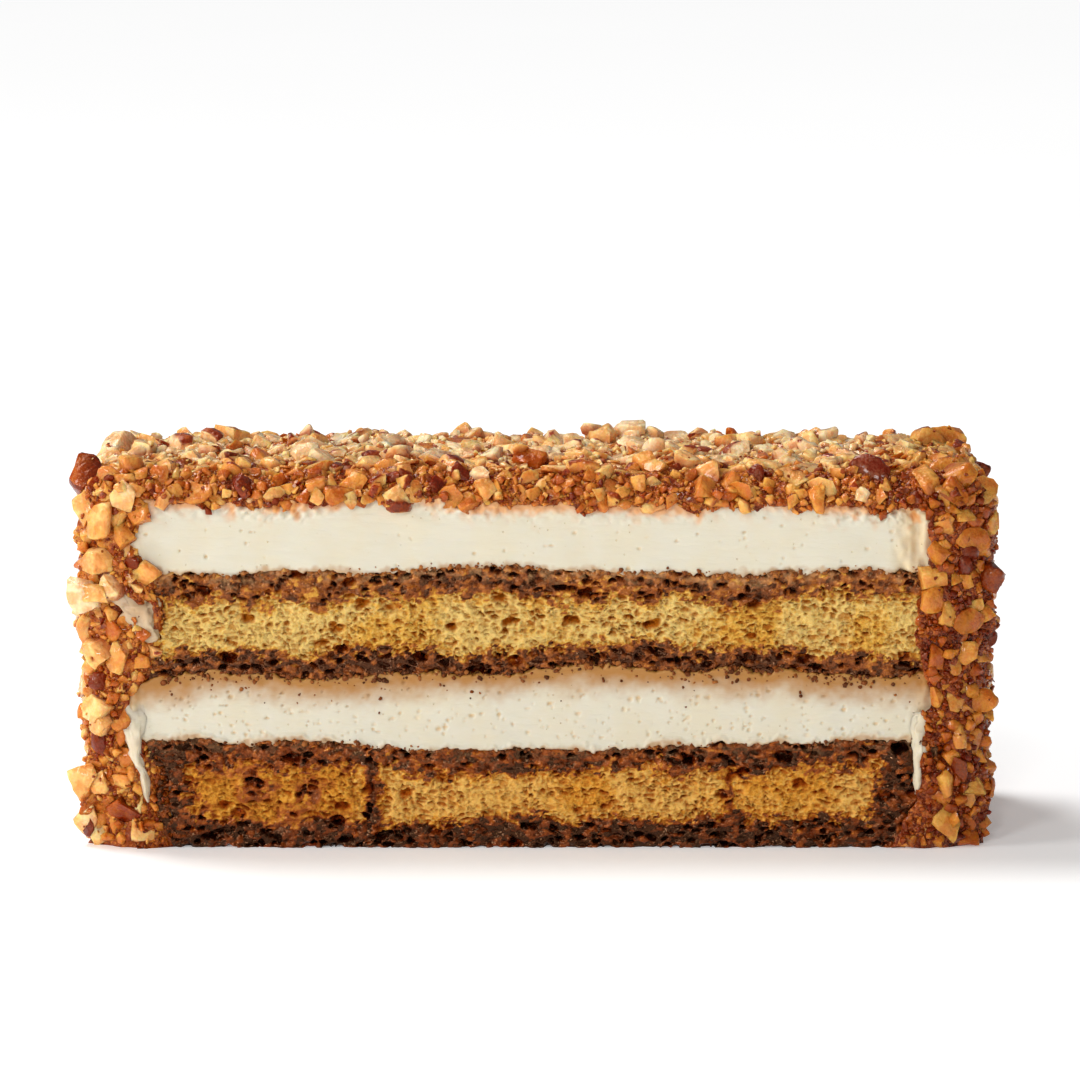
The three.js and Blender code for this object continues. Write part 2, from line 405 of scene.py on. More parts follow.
def shaped_box(counts: Counts, place: Placing) -> tuple[Array, Array, Array]:
    """A closed box of many small faces, moved point by point into a shape.

    Args:
        counts: the steps along the box's three ways.
        place: gives the points for u, v and w, which run from 0 to 1 along those ways.

    Returns:
        The points, the four corners of each face, and each point's u, v and w.
    """
    size = tuple(count + 1 for count in counts)
    quads = []
    for axis in range(3):
        first, second = [k for k in range(3) if k != axis]
        one, two = np.meshgrid(np.arange(counts[first]), np.arange(counts[second]), indexing="ij")
        for end in (0, counts[axis]):
            corners = []
            for step_one, step_two in ((0, 0), (1, 0), (1, 1), (0, 1)):
                index = [np.full_like(one, end)] * 3
                index[first], index[second] = one + step_one, two + step_two
                corners.append(np.ravel_multi_index(index, size).ravel())
            face = np.stack(corners, axis=1)
            outward = (end > 0) != (axis == 1)
            quads.append(face if outward else face[:, ::-1])
    found, faces = np.unique(np.concatenate(quads), return_inverse=True)
    lattice = np.stack(np.unravel_index(found, size), axis=1) / np.array(counts, float)
    points = place(lattice[:, 0], lattice[:, 1], lattice[:, 2])
    return points, faces.reshape(-1, 4), lattice


class Solid:
    """A mesh that is being gathered from closed shells, with a value of each kind at each point."""

    def __init__(self) -> None:
        """Starts with no shells."""
        self.points: list[Array] = []
        self.faces: list[Array] = []
        self.values: dict[str, list[Array]] = {}
        self.count = 0

    def add(self, points: Array, faces: Array, values: Values) -> None:
        """Adds a shell.

        Args:
            points: its points, in millimetres.
            faces: the corners of its faces.
            values: what each point carries, by name, with the same names in each shell.
        """
        self.faces.append(faces + self.count)
        self.points.append(points)
        for name, value in values.items():
            self.values.setdefault(name, []).append(value)
        self.count += len(points)

    def to_object(self, name: str, material: bpy.types.Material) -> bpy.types.Object:
        """Makes the piece, in metres and inside the part's own box.

        Args:
            name: the piece's name.
            material: its finish.

        Returns:
            The new object, at the origin.
        """
        mesh = bpy.data.meshes.new(name)
        points = inside_box((np.concatenate(self.points) + OFFSET) * MM)
        faces = np.concatenate(self.faces)
        mesh.from_pydata(points.tolist(), [], faces.tolist())
        carry(mesh, {label: np.concatenate(parts) for label, parts in self.values.items()})
        mesh.polygons.foreach_set("use_smooth", np.ones(len(faces), bool))
        mesh.materials.append(material)
        mesh.update()
        return place_object(name, mesh)


class Val:
    """A number in a material, with Python's arithmetic."""

    def __init__(self, shader: "Shader", socket: bpy.types.NodeSocket) -> None:
        """Wraps a socket that gives a number."""
        self.shader = shader
        self.socket = socket

    def __add__(self, other: "Number") -> "Val":
        """self + other."""
        return self.shader.math("ADD", self, other)

    def __sub__(self, other: "Number") -> "Val":
        """self - other."""
        return self.shader.math("SUBTRACT", self, other)

    def __rsub__(self, other: "Number") -> "Val":
        """other - self."""
        return self.shader.math("SUBTRACT", other, self)

    def __mul__(self, other: "Number") -> "Val":
        """self * other."""
        return self.shader.math("MULTIPLY", self, other)

    __radd__ = __add__
    __rmul__ = __mul__

    def step(self, low: float, high: float) -> "Val":
        """A soft step from 0 at low to 1 at high."""
        node = self.shader.node(
            "ShaderNodeMapRange",
            {"interpolation_type": "SMOOTHSTEP", "clamp": True},
            {"Value": self, "From Min": low, "From Max": high},
        )
        return Val(self.shader, node.outputs["Result"])


Number = Val | float


class NodeMaker:
    """A node tree that is being put together."""

    tree: bpy.types.NodeTree

    def node(
        self, kind: str, settings: dict | None = None, inputs: dict | None = None
    ) -> bpy.types.Node:
        """Adds a node.

        Args:
            kind: the node's type.
            settings: its own settings, with a ramp's stops under "stops".
            inputs: the value or the link of each socket, by name or number.

        Returns:
            The new node.
        """
        made = self.tree.nodes.new(kind)
        for key, value in (settings or {}).items():
            if key == "stops":
                self._set_stops(made.color_ramp, value)
            else:
                setattr(made, key, value)
        for key, value in (inputs or {}).items():
            source = value.socket if isinstance(value, Val) else value
            if isinstance(source, bpy.types.NodeSocket):
                self.tree.links.new(source, made.inputs[key])
            else:
                made.inputs[key].default_value = source
        return made

    @staticmethod
    def _set_stops(ramp: bpy.types.ColorRamp, stops: list[tuple[float, Colour]]) -> None:
        """Gives a ramp its stops, each a place and a screen colour."""
        while len(ramp.elements) < len(stops):
            ramp.elements.new(1.0)
        for element, (place, colour) in zip(ramp.elements, stops):
            element.position = place
            element.color = linear(colour)


class Shader(NodeMaker):
    """A material that is being put together from nodes."""

    def __init__(self, name: str) -> None:
        """Starts a material with only its output.

        Args:
            name: the material's name.
        """
        self.material = bpy.data.materials.new(name)
        self.material.use_nodes = True
        self.tree = self.material.node_tree
        self.tree.nodes.clear()
        self.place = self.node("ShaderNodeTexCoord").outputs["Object"]

    def math(self, operation: str, first: Number, second: Number) -> Val:
        """One step of arithmetic on numbers."""
        node = self.node("ShaderNodeMath", {"operation": operation}, {0: first, 1: second})
        return Val(self, node.outputs[0])

    def carried(self, name: str) -> Val:
        """The value that the mesh carries under a name."""
        node = self.node("ShaderNodeAttribute", {"attribute_name": name})
        return Val(self, node.outputs["Fac"])

    def noise(self, size: float, detail: float = 3.0, stretch: Triple = (1, 1, 1)) -> Val:
        """Cloudy noise from 0 to 1.

        Args:
            size: the width of its swells, in millimetres.
            detail: how many finer swells lie on them.
            stretch: how often it repeats along X, Y and Z, against the other ways.

        Returns:
            The noise.
        """
        mapped = self.node("ShaderNodeMapping", None, {"Vector": self.place, "Scale": stretch})
        node = self.node(
            "ShaderNodeTexNoise",
            None,
            {
                "Vector": mapped.outputs[0],
                "Scale": 1.0 / (size * MM),
                "Detail": detail,
                "Roughness": 0.6,
            },
        )
        return Val(self, node.outputs["Fac"])

    def grains(self, size: float) -> tuple[Val, Val]:
        """A pattern of packed grains.

        Args:
            size: the width of a grain, in millimetres.

        Returns:
            A value of its own for each grain, and the distance to the grain's middle.
        """
        node = self.node(
            "ShaderNodeTexVoronoi", None, {"Vector": self.place, "Scale": 1.0 / (size * MM)}
        )
        split = self.node("ShaderNodeSeparateColor", None, {"Color": node.outputs["Color"]})
        return Val(self, split.outputs[0]), Val(self, node.outputs["Distance"])

    def rightward(self, low: float, high: float) -> Val:
        """A soft step from 0 to 1 along X, between two places in millimetres."""
        split = self.node("ShaderNodeSeparateXYZ", None, {0: self.place})
        return Val(self, split.outputs[0]).step(low * MM, high * MM)

    def ramp(self, value: Val, stops: list[tuple[float, Colour]]) -> bpy.types.NodeSocket:
        """A colour picked by a number from some stops."""
        node = self.node("ShaderNodeValToRGB", {"stops": stops}, {"Fac": value})
        return node.outputs["Color"]

    def mix(
        self, share: Number, first: object, second: object, blend: str = "MIX"
    ) -> bpy.types.NodeSocket:
        """Two colours mixed.

        Args:
            share: how much of the second colour there is, from 0 to 1.
            first: a colour's socket, or a linear colour.
            second: the same.
            blend: the way they are blended.

        Returns:
            The mixed colour.
        """
        settings = {"data_type": "RGBA", "blend_type": blend, "clamp_factor": True}
        node = self.node("ShaderNodeMix", settings, {0: share, 6: first, 7: second})
        return node.outputs[2]

    def bump(self, height: Val, reach: float) -> bpy.types.NodeSocket:
        """Fine relief from a height from 0 to 1, whose full height is reach millimetres."""
        node = self.node("ShaderNodeBump", None, {"Height": height, "Distance": reach * MM})
        return node.outputs["Normal"]

    def finish(
        self,
        colour: bpy.types.NodeSocket,
        rough: Number,
        relief: tuple[Val, float] | None = None,
        shine: tuple[float, Colour] = (0.5, WHITE),
        coat: tuple[Number, float] = (0.0, 0.03),
        depth: tuple[float, Colour, float] = (0.0, WHITE, 0.05),
        glow: float = 0.0,
    ) -> bpy.types.Material:
        """Ends the material with its surface.

        Args:
            colour: its colour.
            rough: how rough it is.
            relief: the height of its fine relief from 0 to 1, and what a full height measures.
            shine: how strongly it mirrors, and in what tint.
            coat: how much clear coat lies on it, and how rough that is.
            depth: how much light goes into it, how far red, green and blue go, and the measure of
                that in metres.
            glow: how much white light it gives off.

        Returns:
            The finished material.
        """
        inputs = {
            "Base Color": colour,
            "Roughness": rough,
            "Specular IOR Level": shine[0],
            "Specular Tint": (*shine[1], 1.0),
            "Coat Weight": coat[0],
            "Coat Roughness": coat[1],
            "Subsurface Weight": depth[0],
            "Subsurface Radius": depth[1],
            "Subsurface Scale": depth[2],
            "Emission Color": (*WHITE, 1.0),
            "Emission Strength": glow,
        }
        if relief is not None:
            inputs["Normal"] = self.bump(*relief)
        settings = {"subsurface_method": "RANDOM_WALK"}
        surface = self.node("ShaderNodeBsdfPrincipled", settings, inputs)
        output = self.node("ShaderNodeOutputMaterial")
        self.tree.links.new(surface.outputs["BSDF"], output.inputs["Surface"])
        return self.material


@dataclass(frozen=True)
class SpongeFinish:
    """Sponge that is dry and yellow inside and dark with coffee at its edges."""

    name: str
    dry: Colour
    toasted: Colour
    damp: Colour
    soaked: Colour
    drenched: Colour
    # painted shade in the pores
    deep: Colour = (216, 150, 52)
    film: Colour = (182, 138, 92)

    def material(self) -> bpy.types.Material:
        """Makes the finish.

        Returns:
            The material. It reads how soaked, hollow and creamy each point of the crumb is.
        """
        shader = Shader(self.name)
        soak = shader.carried("soak")
        hollow = shader.carried("hollow")
        mottle = shader.noise(1.3, 4.0)
        speck = shader.noise(0.28, 2.0)
        # Painted highlight: the thin walls at the cut are a little paler where the crumb is dry.
        lift = shader.carried("thread") * (1.0 - soak.step(0.2, 0.5)) * 0.08
        # Soaked lumps: partly each lump's own tone, partly painted shade in the pits between them.
        grain = (shader.carried("grain") - 0.45) * soak.step(0.3, 0.6) * 0.95
        tone = soak + (mottle - 0.5) * 0.36 + (speck - 0.5) * 0.3 - lift - grain
        colours = (self.dry, self.toasted, self.damp, self.soaked, self.drenched)
        colour = shader.ramp(tone, list(zip((0.0, 0.2, 0.45, 0.72, 1.0), colours)))
        # Painted shade: the crumb is darker and more saturated the deeper it lies in a pore.
        colour = shader.mix(hollow, colour, linear(self.deep), "MULTIPLY")
        creamy = shader.carried("film") * mottle.step(0.4, 0.6) * (1.0 - hollow)
        colour = shader.mix(creamy * 0.6, colour, linear(self.film))
        wet = mottle.step(0.3, 0.45) * soak.step(0.3, 0.6)
        _, away = shader.grains(0.42)
        bead = wet * (1.0 - away * away * 1.8)
        return shader.finish(
            colour,
            0.8 - 0.65 * wet,
            (speck * (0.5 - 0.5 * wet) + bead * 0.2, 0.34),
            shine=(0.68, (1.0, 0.5, 0.26)),
            depth=(0.3, (1.0, 0.6, 0.25), 0.0006),
        )


@dataclass(frozen=True)
class CreamFinish:
    """Soft mascarpone cream, drawn by the knife."""

    name: str
    plain: Colour = (219, 213, 194)
    warm: Colour = (219, 208, 180)
    coffee: Colour = (176, 122, 56)
    caramel: Colour = (226, 148, 66)
    # The pit colour is painted shade inside the bubbles, and a yellowish tint at the torn ends and
    # on the smears.
    pit: Colour = (230, 188, 116)
    vanilla: Colour = (70, 50, 40)

    def material(self) -> bpy.types.Material:
        """Makes the finish.

        Returns:
            The material. It reads the stain, the caramel and the pits at each point.
        """
        shader = Shader(self.name)
        cloud = shader.noise(6.0, 3.0)
        speck, away = shader.grains(1.6)
        vanilla = speck.step(0.93, 0.95) * (1.0 - away.step(0.05, 0.085))
        bubble, middle = shader.grains(0.8)
        dimple = bubble.step(0.55, 0.75) * (1.0 - middle.step(0.06, 0.16)) * cloud.step(0.4, 0.6)
        colour = shader.mix(cloud.step(0.35, 0.7) * 0.6, linear(self.plain), linear(self.warm))
        # Painted shade in the bubbles and small dimples; the dimples are pressed into the relief
        # too.
        colour = shader.mix(shader.carried("pit") * 0.8, colour, linear(self.pit))
        colour = shader.mix(dimple * 0.35, colour, linear(self.pit))
        colour = shader.mix(shader.carried("stain"), colour, linear(self.coffee))
        colour = shader.mix(shader.carried("caramel"), colour, linear(self.caramel))
        colour = shader.mix(vanilla * 0.8, colour, linear(self.vanilla))
        drag = shader.noise(0.7, 4.0, (0.35, 1.0, 1.6))
        return shader.finish(
            colour,
            0.36 + drag * 0.2,
            (drag * 0.5 - dimple, 0.11),
            shine=(0.4, WHITE),
            depth=(0.35, (1.0, 0.75, 0.45), 0.0015),
        )


@dataclass(frozen=True)
class AlmondFinish:
    """Chopped almond: pale where it is cut, toasted and glazed outside, with dark skin left on."""

    name: str
    glaze: float
    rough: float = 0.24
    syrup: Colour = (236, 160, 78)
    # partly caramel pooled at each piece's foot, partly painted shade there
    pool_and_foot_shade: Colour = (174, 78, 22)
    # painted shade towards the right end
    right_shade_tint: Colour = (228, 214, 172)

    def material(self) -> bpy.types.Material:
        """Makes the finish.

        Returns:
            The material. It reads each piece's tone, and where its skin is.
        """
        shader = Shader(self.name)
        blotch = shader.noise(2.2, 3.0)
        fibre = shader.noise(0.35, 3.0)
        tone = shader.carried("tone") + (blotch - 0.5) * 0.55 + (fibre - 0.5) * 0.16
        flesh = shader.ramp(
            tone,
            [
                (0.0, (250, 223, 177)),
                (0.22, (250, 207, 133)),
                (0.46, (232, 163, 74)),
                (0.74, (188, 98, 22)),
                (1.0, (120, 32, 3)),
            ],
        )
        skin = shader.carried("skin").step(0.3, 0.7)
        rind = shader.ramp(
            blotch * 0.6 + fibre * 0.4,
            [(0.35, (86, 18, 3)), (0.5, (136, 44, 9)), (0.65, (184, 88, 28))],
        )
        colour = shader.mix(skin, flesh, rind)
        glazed = shader.noise(1.7, 2.0).step(0.36, 0.6) * self.glaze
        colour = shader.mix(glazed * 0.55, colour, linear(self.syrup), "MULTIPLY")
        # Darker low on each piece: partly caramel pooled at its foot, partly painted shade.
        pooled_and_shaded = 1.0 - (shader.carried("height") + (blotch - 0.5) * 0.8).step(-0.42, 0.45)
        colour = shader.mix(pooled_and_shaded * 0.8, colour, linear(self.pool_and_foot_shade), "MULTIPLY")
        # Painted shade: the pieces are darker towards the right end.
        right_shade_share = shader.rightward(40.0, 52.0)
        colour = shader.mix(right_shade_share, colour, linear(self.right_shade_tint), "MULTIPLY")
        return shader.finish(
            colour,
            self.rough * (1.0 - glazed) + 0.1 + fibre * 0.1,
            (fibre * 0.35 + shader.noise(0.9, 1.0) * 0.9, 0.34),
            shine=(0.5, (1.0, 0.62, 0.34)),
            coat=(glazed * 0.4, 0.07),
            depth=(0.5, (1.0, 0.58, 0.24), 0.0016),
        )


@dataclass(frozen=True)
class CrustFinish:
    """The fine almond crumb and caramel that the larger pieces sit in."""

    name: str

    def material(self) -> bpy.types.Material:
        """Makes the finish."""
        shader = Shader(self.name)
        grain, away = shader.grains(0.45)
        syrup = shader.noise(2.4, 4.0)
        # Painted shade: darker where the core lies low, and towards the right end.
        tone = grain * 0.35 + syrup * 0.9 - 0.1 - 0.3 * shader.carried("deep")
        colour = shader.ramp(
            tone,
            [
                (0.0, (70, 12, 1)),
                (0.22, (112, 34, 4)),
                (0.46, (160, 70, 13)),
                (0.68, (204, 118, 40)),
                (0.92, (234, 174, 98)),
            ],
        )
        return shader.finish(
            colour,
            0.12 + syrup * 0.24,
            (1.0 - away + syrup * 0.5, 0.35),
            shine=(0.65, (1.0, 0.5, 0.24)),
            coat=(syrup.step(0.35, 0.6) * 0.3, 0.07),
            depth=(0.35, (1.0, 0.4, 0.12), 0.0012),
        )


@dataclass(frozen=True)
class CaramelFinish:
    """Clear amber caramel that has run together into drops."""

    name: str

    def material(self) -> bpy.types.Material:
        """Makes the finish."""
        shader = Shader(self.name)
        cloud = shader.noise(1.4, 3.0)
        tone = shader.carried("tone") * 0.7 + cloud * 0.4
        colour = shader.ramp(
            tone, [(0.1, (232, 150, 58)), (0.45, (198, 98, 22)), (0.8, (130, 44, 6))]
        )
        return shader.finish(
            colour,
            0.1 + cloud * 0.16,
            (cloud, 0.3),
            shine=(0.6, (1.0, 0.6, 0.3)),
            coat=(0.5, 0.05),
            depth=(0.6, (1.0, 0.4, 0.1), 0.002),
        )


@dataclass(frozen=True)
class CrumbFinish:
    """Loose crumbs of soaked sponge that the knife has dragged along."""

    name: str

    def material(self) -> bpy.types.Material:
        """Makes the finish."""
        shader = Shader(self.name)
        speck = shader.noise(0.3, 2.0)
        colour = shader.ramp(
            shader.carried("tone") + (speck - 0.5) * 0.5,
            [(0.1, (170, 104, 50)), (0.5, (120, 60, 26)), (0.95, (58, 22, 8))],
        )
        return shader.finish(colour, 0.3, (speck, 0.2), shine=(0.4, (1.0, 0.6, 0.34)))


class LayerEdges:
    """Where the layers meet on the cut faces: ragged lines that both neighbours share."""

    BASE_LIFT = 1.0

    def __init__(self, shape: SliceShape, seed: int) -> None:
        """Takes the slice's form and draws the raggedness."""
        self.shape = shape
        self.ragged = ValueNoise(seed)

    def above(self, level: Level, points: Array, y: Array) -> Array:
        """How far points of a cut face lie above the ragged line of a level.

        Args:
            level: the level.
            points: an N by 3 array of points of the face.
            y: where the level is read.

        Returns:
            N heights, which are negative below the line.
        """
        away = points[:, 2] - self.shape.height(level, points[:, 0], y)
        if level.height == 0.0:
            return away + self.BASE_LIFT
        shift = points + np.array([0.0, 0.0, level.height * 3.0])
        away = away + 0.42 * self.ragged.at(shift, 2.6) + 0.44 * self.ragged.at(shift, 0.9)
        return away + 0.24 * self.ragged.at(shift, 0.42)


EDGES = LayerEdges(SHAPE, 7)


@dataclass
class Sponge:
    """A sponge layer with the open crumb of its two cut faces."""

    name: str
    node: str
    low: Level
    high: Level
    finish: SpongeFinish
    seed: int
    top_band: float  # how deep coffee has come in from the top
    bottom_band: float
    end_bands: tuple[float, float]
    top_soak: float  # how soaked it is there
    bottom_soak: float
    film: float  # how much cream clings to it along the top
    streaks: tuple[Triple, ...] = ()  # x, half the width and strength of each
    overlap: float = 1.1  # how far it runs on behind the layers next to it
    end_reach: float = 1.7
    deep_soak: float = 0.9
    back_shift: Triple = (13.0, 29.0, 7.0)  # gives the back face crumb of its own
    counts: Counts = (500, 3, 95)
    noise: ValueNoise = field(init=False)
    bubbles: CellPattern = field(init=False)
    pores: CellPattern = field(init=False)
    holes: CellPattern = field(init=False)
    lumps: CellPattern = field(init=False)

    def __post_init__(self) -> None:
        """Draws the crumb's patterns."""
        self.noise = ValueNoise(self.seed)
        self.bubbles = CellPattern(self.seed + 1, 1.15, 0.62)
        self.pores = CellPattern(self.seed + 2, 0.6, 0.38)
        self.holes = CellPattern(self.seed + 3, 3.2, 2.0)
        self.lumps = CellPattern(self.seed + 4, 0.95, 0.74)

    def soak(self, points: Array, face: Array, jitter: Array) -> Array:
        """How much coffee the crumb has drawn up at points of a cut face, from 0 to 1.

        Args:
            points: points of the face.
            face: 0 on the front face and 1 on the back one.
            jitter: how much further or less far the coffee has come in each point's own cell.

        Returns:
            The share at each point.
        """
        y = points[:, 1]
        where = points + face[:, None] * np.array(self.back_shift)
        drift = self.noise.mix(where, (0.9, 4.5), (0.6, 1.6)) + jitter
        from_low = EDGES.above(self.low, points, y) + drift
        if self.low.height == 0.0:
            from_low = from_low - EDGES.BASE_LIFT
        from_high = -EDGES.above(self.high, points, y) + drift
        # The coffee has come in from the top, the bottom and the ends, and along some streaks.
        soak = self.top_soak * smooth(from_high, self.top_band + 0.9, self.top_band - 0.5)
        low_band = smooth(from_low, self.bottom_band + 0.9, self.bottom_band - 0.5)
        soak = np.maximum(soak, self.bottom_soak * low_band)
        for side, band in zip((-1, 1), self.end_bands):
            reach = SHAPE.sponge_end(side, y, points[:, 2]) + self.end_reach - side * points[:, 0]
            soak = np.maximum(soak, 0.95 * smooth(reach + drift, band + 0.8, band - 0.8))
        patch = 0.55 + 0.9 * smooth(self.noise.at(where + 3.0, (2.6, 1.0, 1.4)), -0.35, 0.4)
        for x, width, strength in self.streaks:
            away = np.abs(points[:, 0] - x + 0.8 * drift)
            here = strength * smooth(away, width + 0.8, width - 0.3)
            soak = np.maximum(soak, here * patch)
        cloud = smooth(self.noise.at(where, 7.0), 0.0, 0.6)
        return np.clip(soak + 0.03 + 0.2 * cloud + 0.06 * self.noise.at(where, 2.0), 0.0, 1.0)

    def crumb(self, points: Array, face: Array) -> tuple[Array, Values]:
        """The open crumb of a cut face.

        Args:
            points: points of the face.
            face: 0 on the front face and 1 on the back one.

        Returns:
            How deep the crumb lies behind the cut at each point, and how soaked, how hollow, how
            much of a thread and how light a grain it is there.
        """
        where = points + face[:, None] * np.array(self.back_shift)
        x = where[:, 0] + 0.45 * self.noise.at(where, 1.7) + 0.2 * self.noise.at(where, 0.5)
        z = where[:, 2] + 0.26 * self.noise.at(where + 50.0, 1.5) + 0.12 * self.noise.at(where, 0.4)
        _, wall, openness = self.bubbles.at(x, z + 0.12 * x)
        _, fine_wall, fine_open = self.pores.at(x, z)
        middle, _, rare = self.holes.at(x, z)
        lump_middle, _, raised = self.lumps.at(x, z)
        soak = self.soak(points, face, 1.5 * (openness - 0.5) + 0.8 * (fine_open - 0.5))
        # Dry crumb has bubbles with thin walls. Soaked crumb has sunk into lumps with pits between.
        bubble = smooth(wall, 0.08, 0.5) * (0.06 + 1.0 * openness**2.2)
        pore = smooth(fine_wall, 0.06, 0.45) * (0.08 + 0.6 * fine_open**1.5)
        hole = smooth(rare, 0.84, 0.97) * smooth(middle, 0.36, 0.16)
        grain = self.noise.mix(where, (0.12, 0.3), (0.12, 0.55))
        dry = bubble + pore + 1.5 * hole
        lump = np.sqrt(np.clip(1.0 - (lump_middle / 0.72) ** 2, 0.0, 1.0)) * (0.3 + 0.5 * raised)
        pit = smooth(wall, 0.05, 0.5) * smooth(openness, 0.66, 0.92)
        wet = 0.4 - 0.8 * lump + 0.12 * pore + 1.3 * pit + 1.7 * hole + 0.2 * grain
        depth = dry + (wet - dry) * smooth(soak, 0.25, 0.7)
        tear = self.noise.mix(where, (0.35, 5.0), (0.25, 1.5))
        # The hollow value and the pits in the grain value become painted shade in the finish.
        values = {
            "soak": soak,
            "hollow": np.clip((depth - 0.15) / 1.0, 0.0, 1.0),
            "thread": smooth(wall, 0.2, 0.0) + 0.6 * smooth(fine_wall, 0.2, 0.0),
            "grain": np.clip(0.55 * raised + 0.45 * fine_open - 0.5 * pit, 0.0, 1.0),
        }
        return depth + tear + grain * (1.0 - 0.85 * smooth(soak, 0.25, 0.7)), values

    def build(self) -> bpy.types.Object:
        """Makes the sponge.

        Returns:
            The finished piece.
        """
        half = SHAPE.depth / 2.0
        low_lift = 0.0 if self.low.height == 0.0 else -self.overlap

        def reach(side: int, y: Array, z: Array) -> Array:
            """How far the sponge runs on inside the coat."""
            return SHAPE.sponge_end(side, y, z) + self.end_reach

        def place(*spot: Array) -> Array:
            """Where the sponge's own points are."""
            return SHAPE.layer((self.low, self.high), (low_lift, self.overlap), reach, spot)

        points, faces, lattice = shaped_box(self.counts, place)
        names = ("soak", "hollow", "thread", "grain", "film")
        values = {name: np.zeros(len(points)) for name in names}
        for v, sign in CUT_FACES:
            face = lattice[:, 1] == v
            here = points[face]
            y = here[:, 1]
            depth, found = self.crumb(here, np.full(len(here), v))
            from_high = -EDGES.above(self.high, here, y)
            inside = np.minimum(EDGES.above(self.low, here, y), from_high)
            retreat = 0.7 * smooth(inside, 0.0, -0.6)
            depth = np.maximum(depth, -0.25) + retreat
            slide = 0.2 * np.clip(depth, 0.0, 1.2)
            moved = here.copy()
            moved[:, 0] += slide * self.noise.at(here + 7.0, 0.8)
            moved[:, 2] += slide * self.noise.at(here - 9.0, 0.7)
            moved[:, 2] = np.where(here[:, 2] <= 0.001, 0.0, np.maximum(moved[:, 2], 0.0))
            moved[:, 1] = sign * (half - depth)
            points[face] = moved
            for name, value in found.items():
                values[name][face] = value
            values["film"][face] = self.film * smooth(from_high, 2.2, 0.2)
        values["soak"][(lattice[:, 1] > 0.0) & (lattice[:, 1] < 1.0)] = self.deep_soak
        solid = Solid()
        solid.add(points, faces, values)
        piece = solid.to_object(self.name, self.finish.material())
        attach(piece, ROOT)
        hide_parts(self.node)
        return piece


@dataclass(frozen=True)
class Pit:
    """A bubble or a tear in a cut face of cream."""

    x: float
    z: float
    wide: float
    high: float
    deep: float


@dataclass(frozen=True)
class Smear:
    """Cream that the knife has dragged down over the cut face."""

    x: float
    top: float
    bottom: float
    wide: float
    narrow: float
    lean: float
    thick: float = 0.9
    stained: float = 0.3
    counts: Counts = (20, 6, 80)

    def shell(self, noise: ValueNoise) -> Shell:
        """Makes the smear.

        Args:
            noise: what makes it uneven.

        Returns:
            Its points, faces and values.
        """

        def place(u: Array, v: Array, w: Array) -> Array:
            """Where the smear's points are."""
            z = self.bottom + (self.top - self.bottom) * w
            line = np.stack([np.full_like(u, self.x), np.zeros_like(u), z], axis=1)
            middle = self.x + self.lean * (1.0 - w) + 0.7 * noise.at(line, 3.0)
            tip = np.clip(w / 0.12, 0.0, 1.0) ** 0.5 * np.clip((1.0 - w) / 0.25, 0.0, 1.0)
            half = 0.5 * (self.narrow + (self.wide - self.narrow) * w**1.5)
            half = half * np.clip(w / 0.12, 0.0, 1.0) ** 0.5
            edge = 1.0 + 0.5 * noise.at(line + u[:, None] * 9.0, 1.1)
            side = u * 2.0 - 1.0
            x = middle + half * side * edge
            dome = np.sqrt(np.clip(1.0 - side**2, 0.0, 1.0))
            spot = np.stack([x, np.zeros_like(u), z], axis=1)
            front = self.thick * dome * tip * (0.75 + 0.35 * noise.at(spot, 1.0)) - 0.1
            y = -SHAPE.depth / 2.0 + 1.2 - (front + 1.2) * (1.0 - v)
            return np.stack([x, y, z], axis=1)

        points, faces, _ = shaped_box(self.counts, place)
        stain = self.stained + 0.16 * noise.at(points, 2.2)
        blank = np.zeros(len(points))
        return points, faces, {"stain": stain, "caramel": blank, "pit": blank + 0.2}


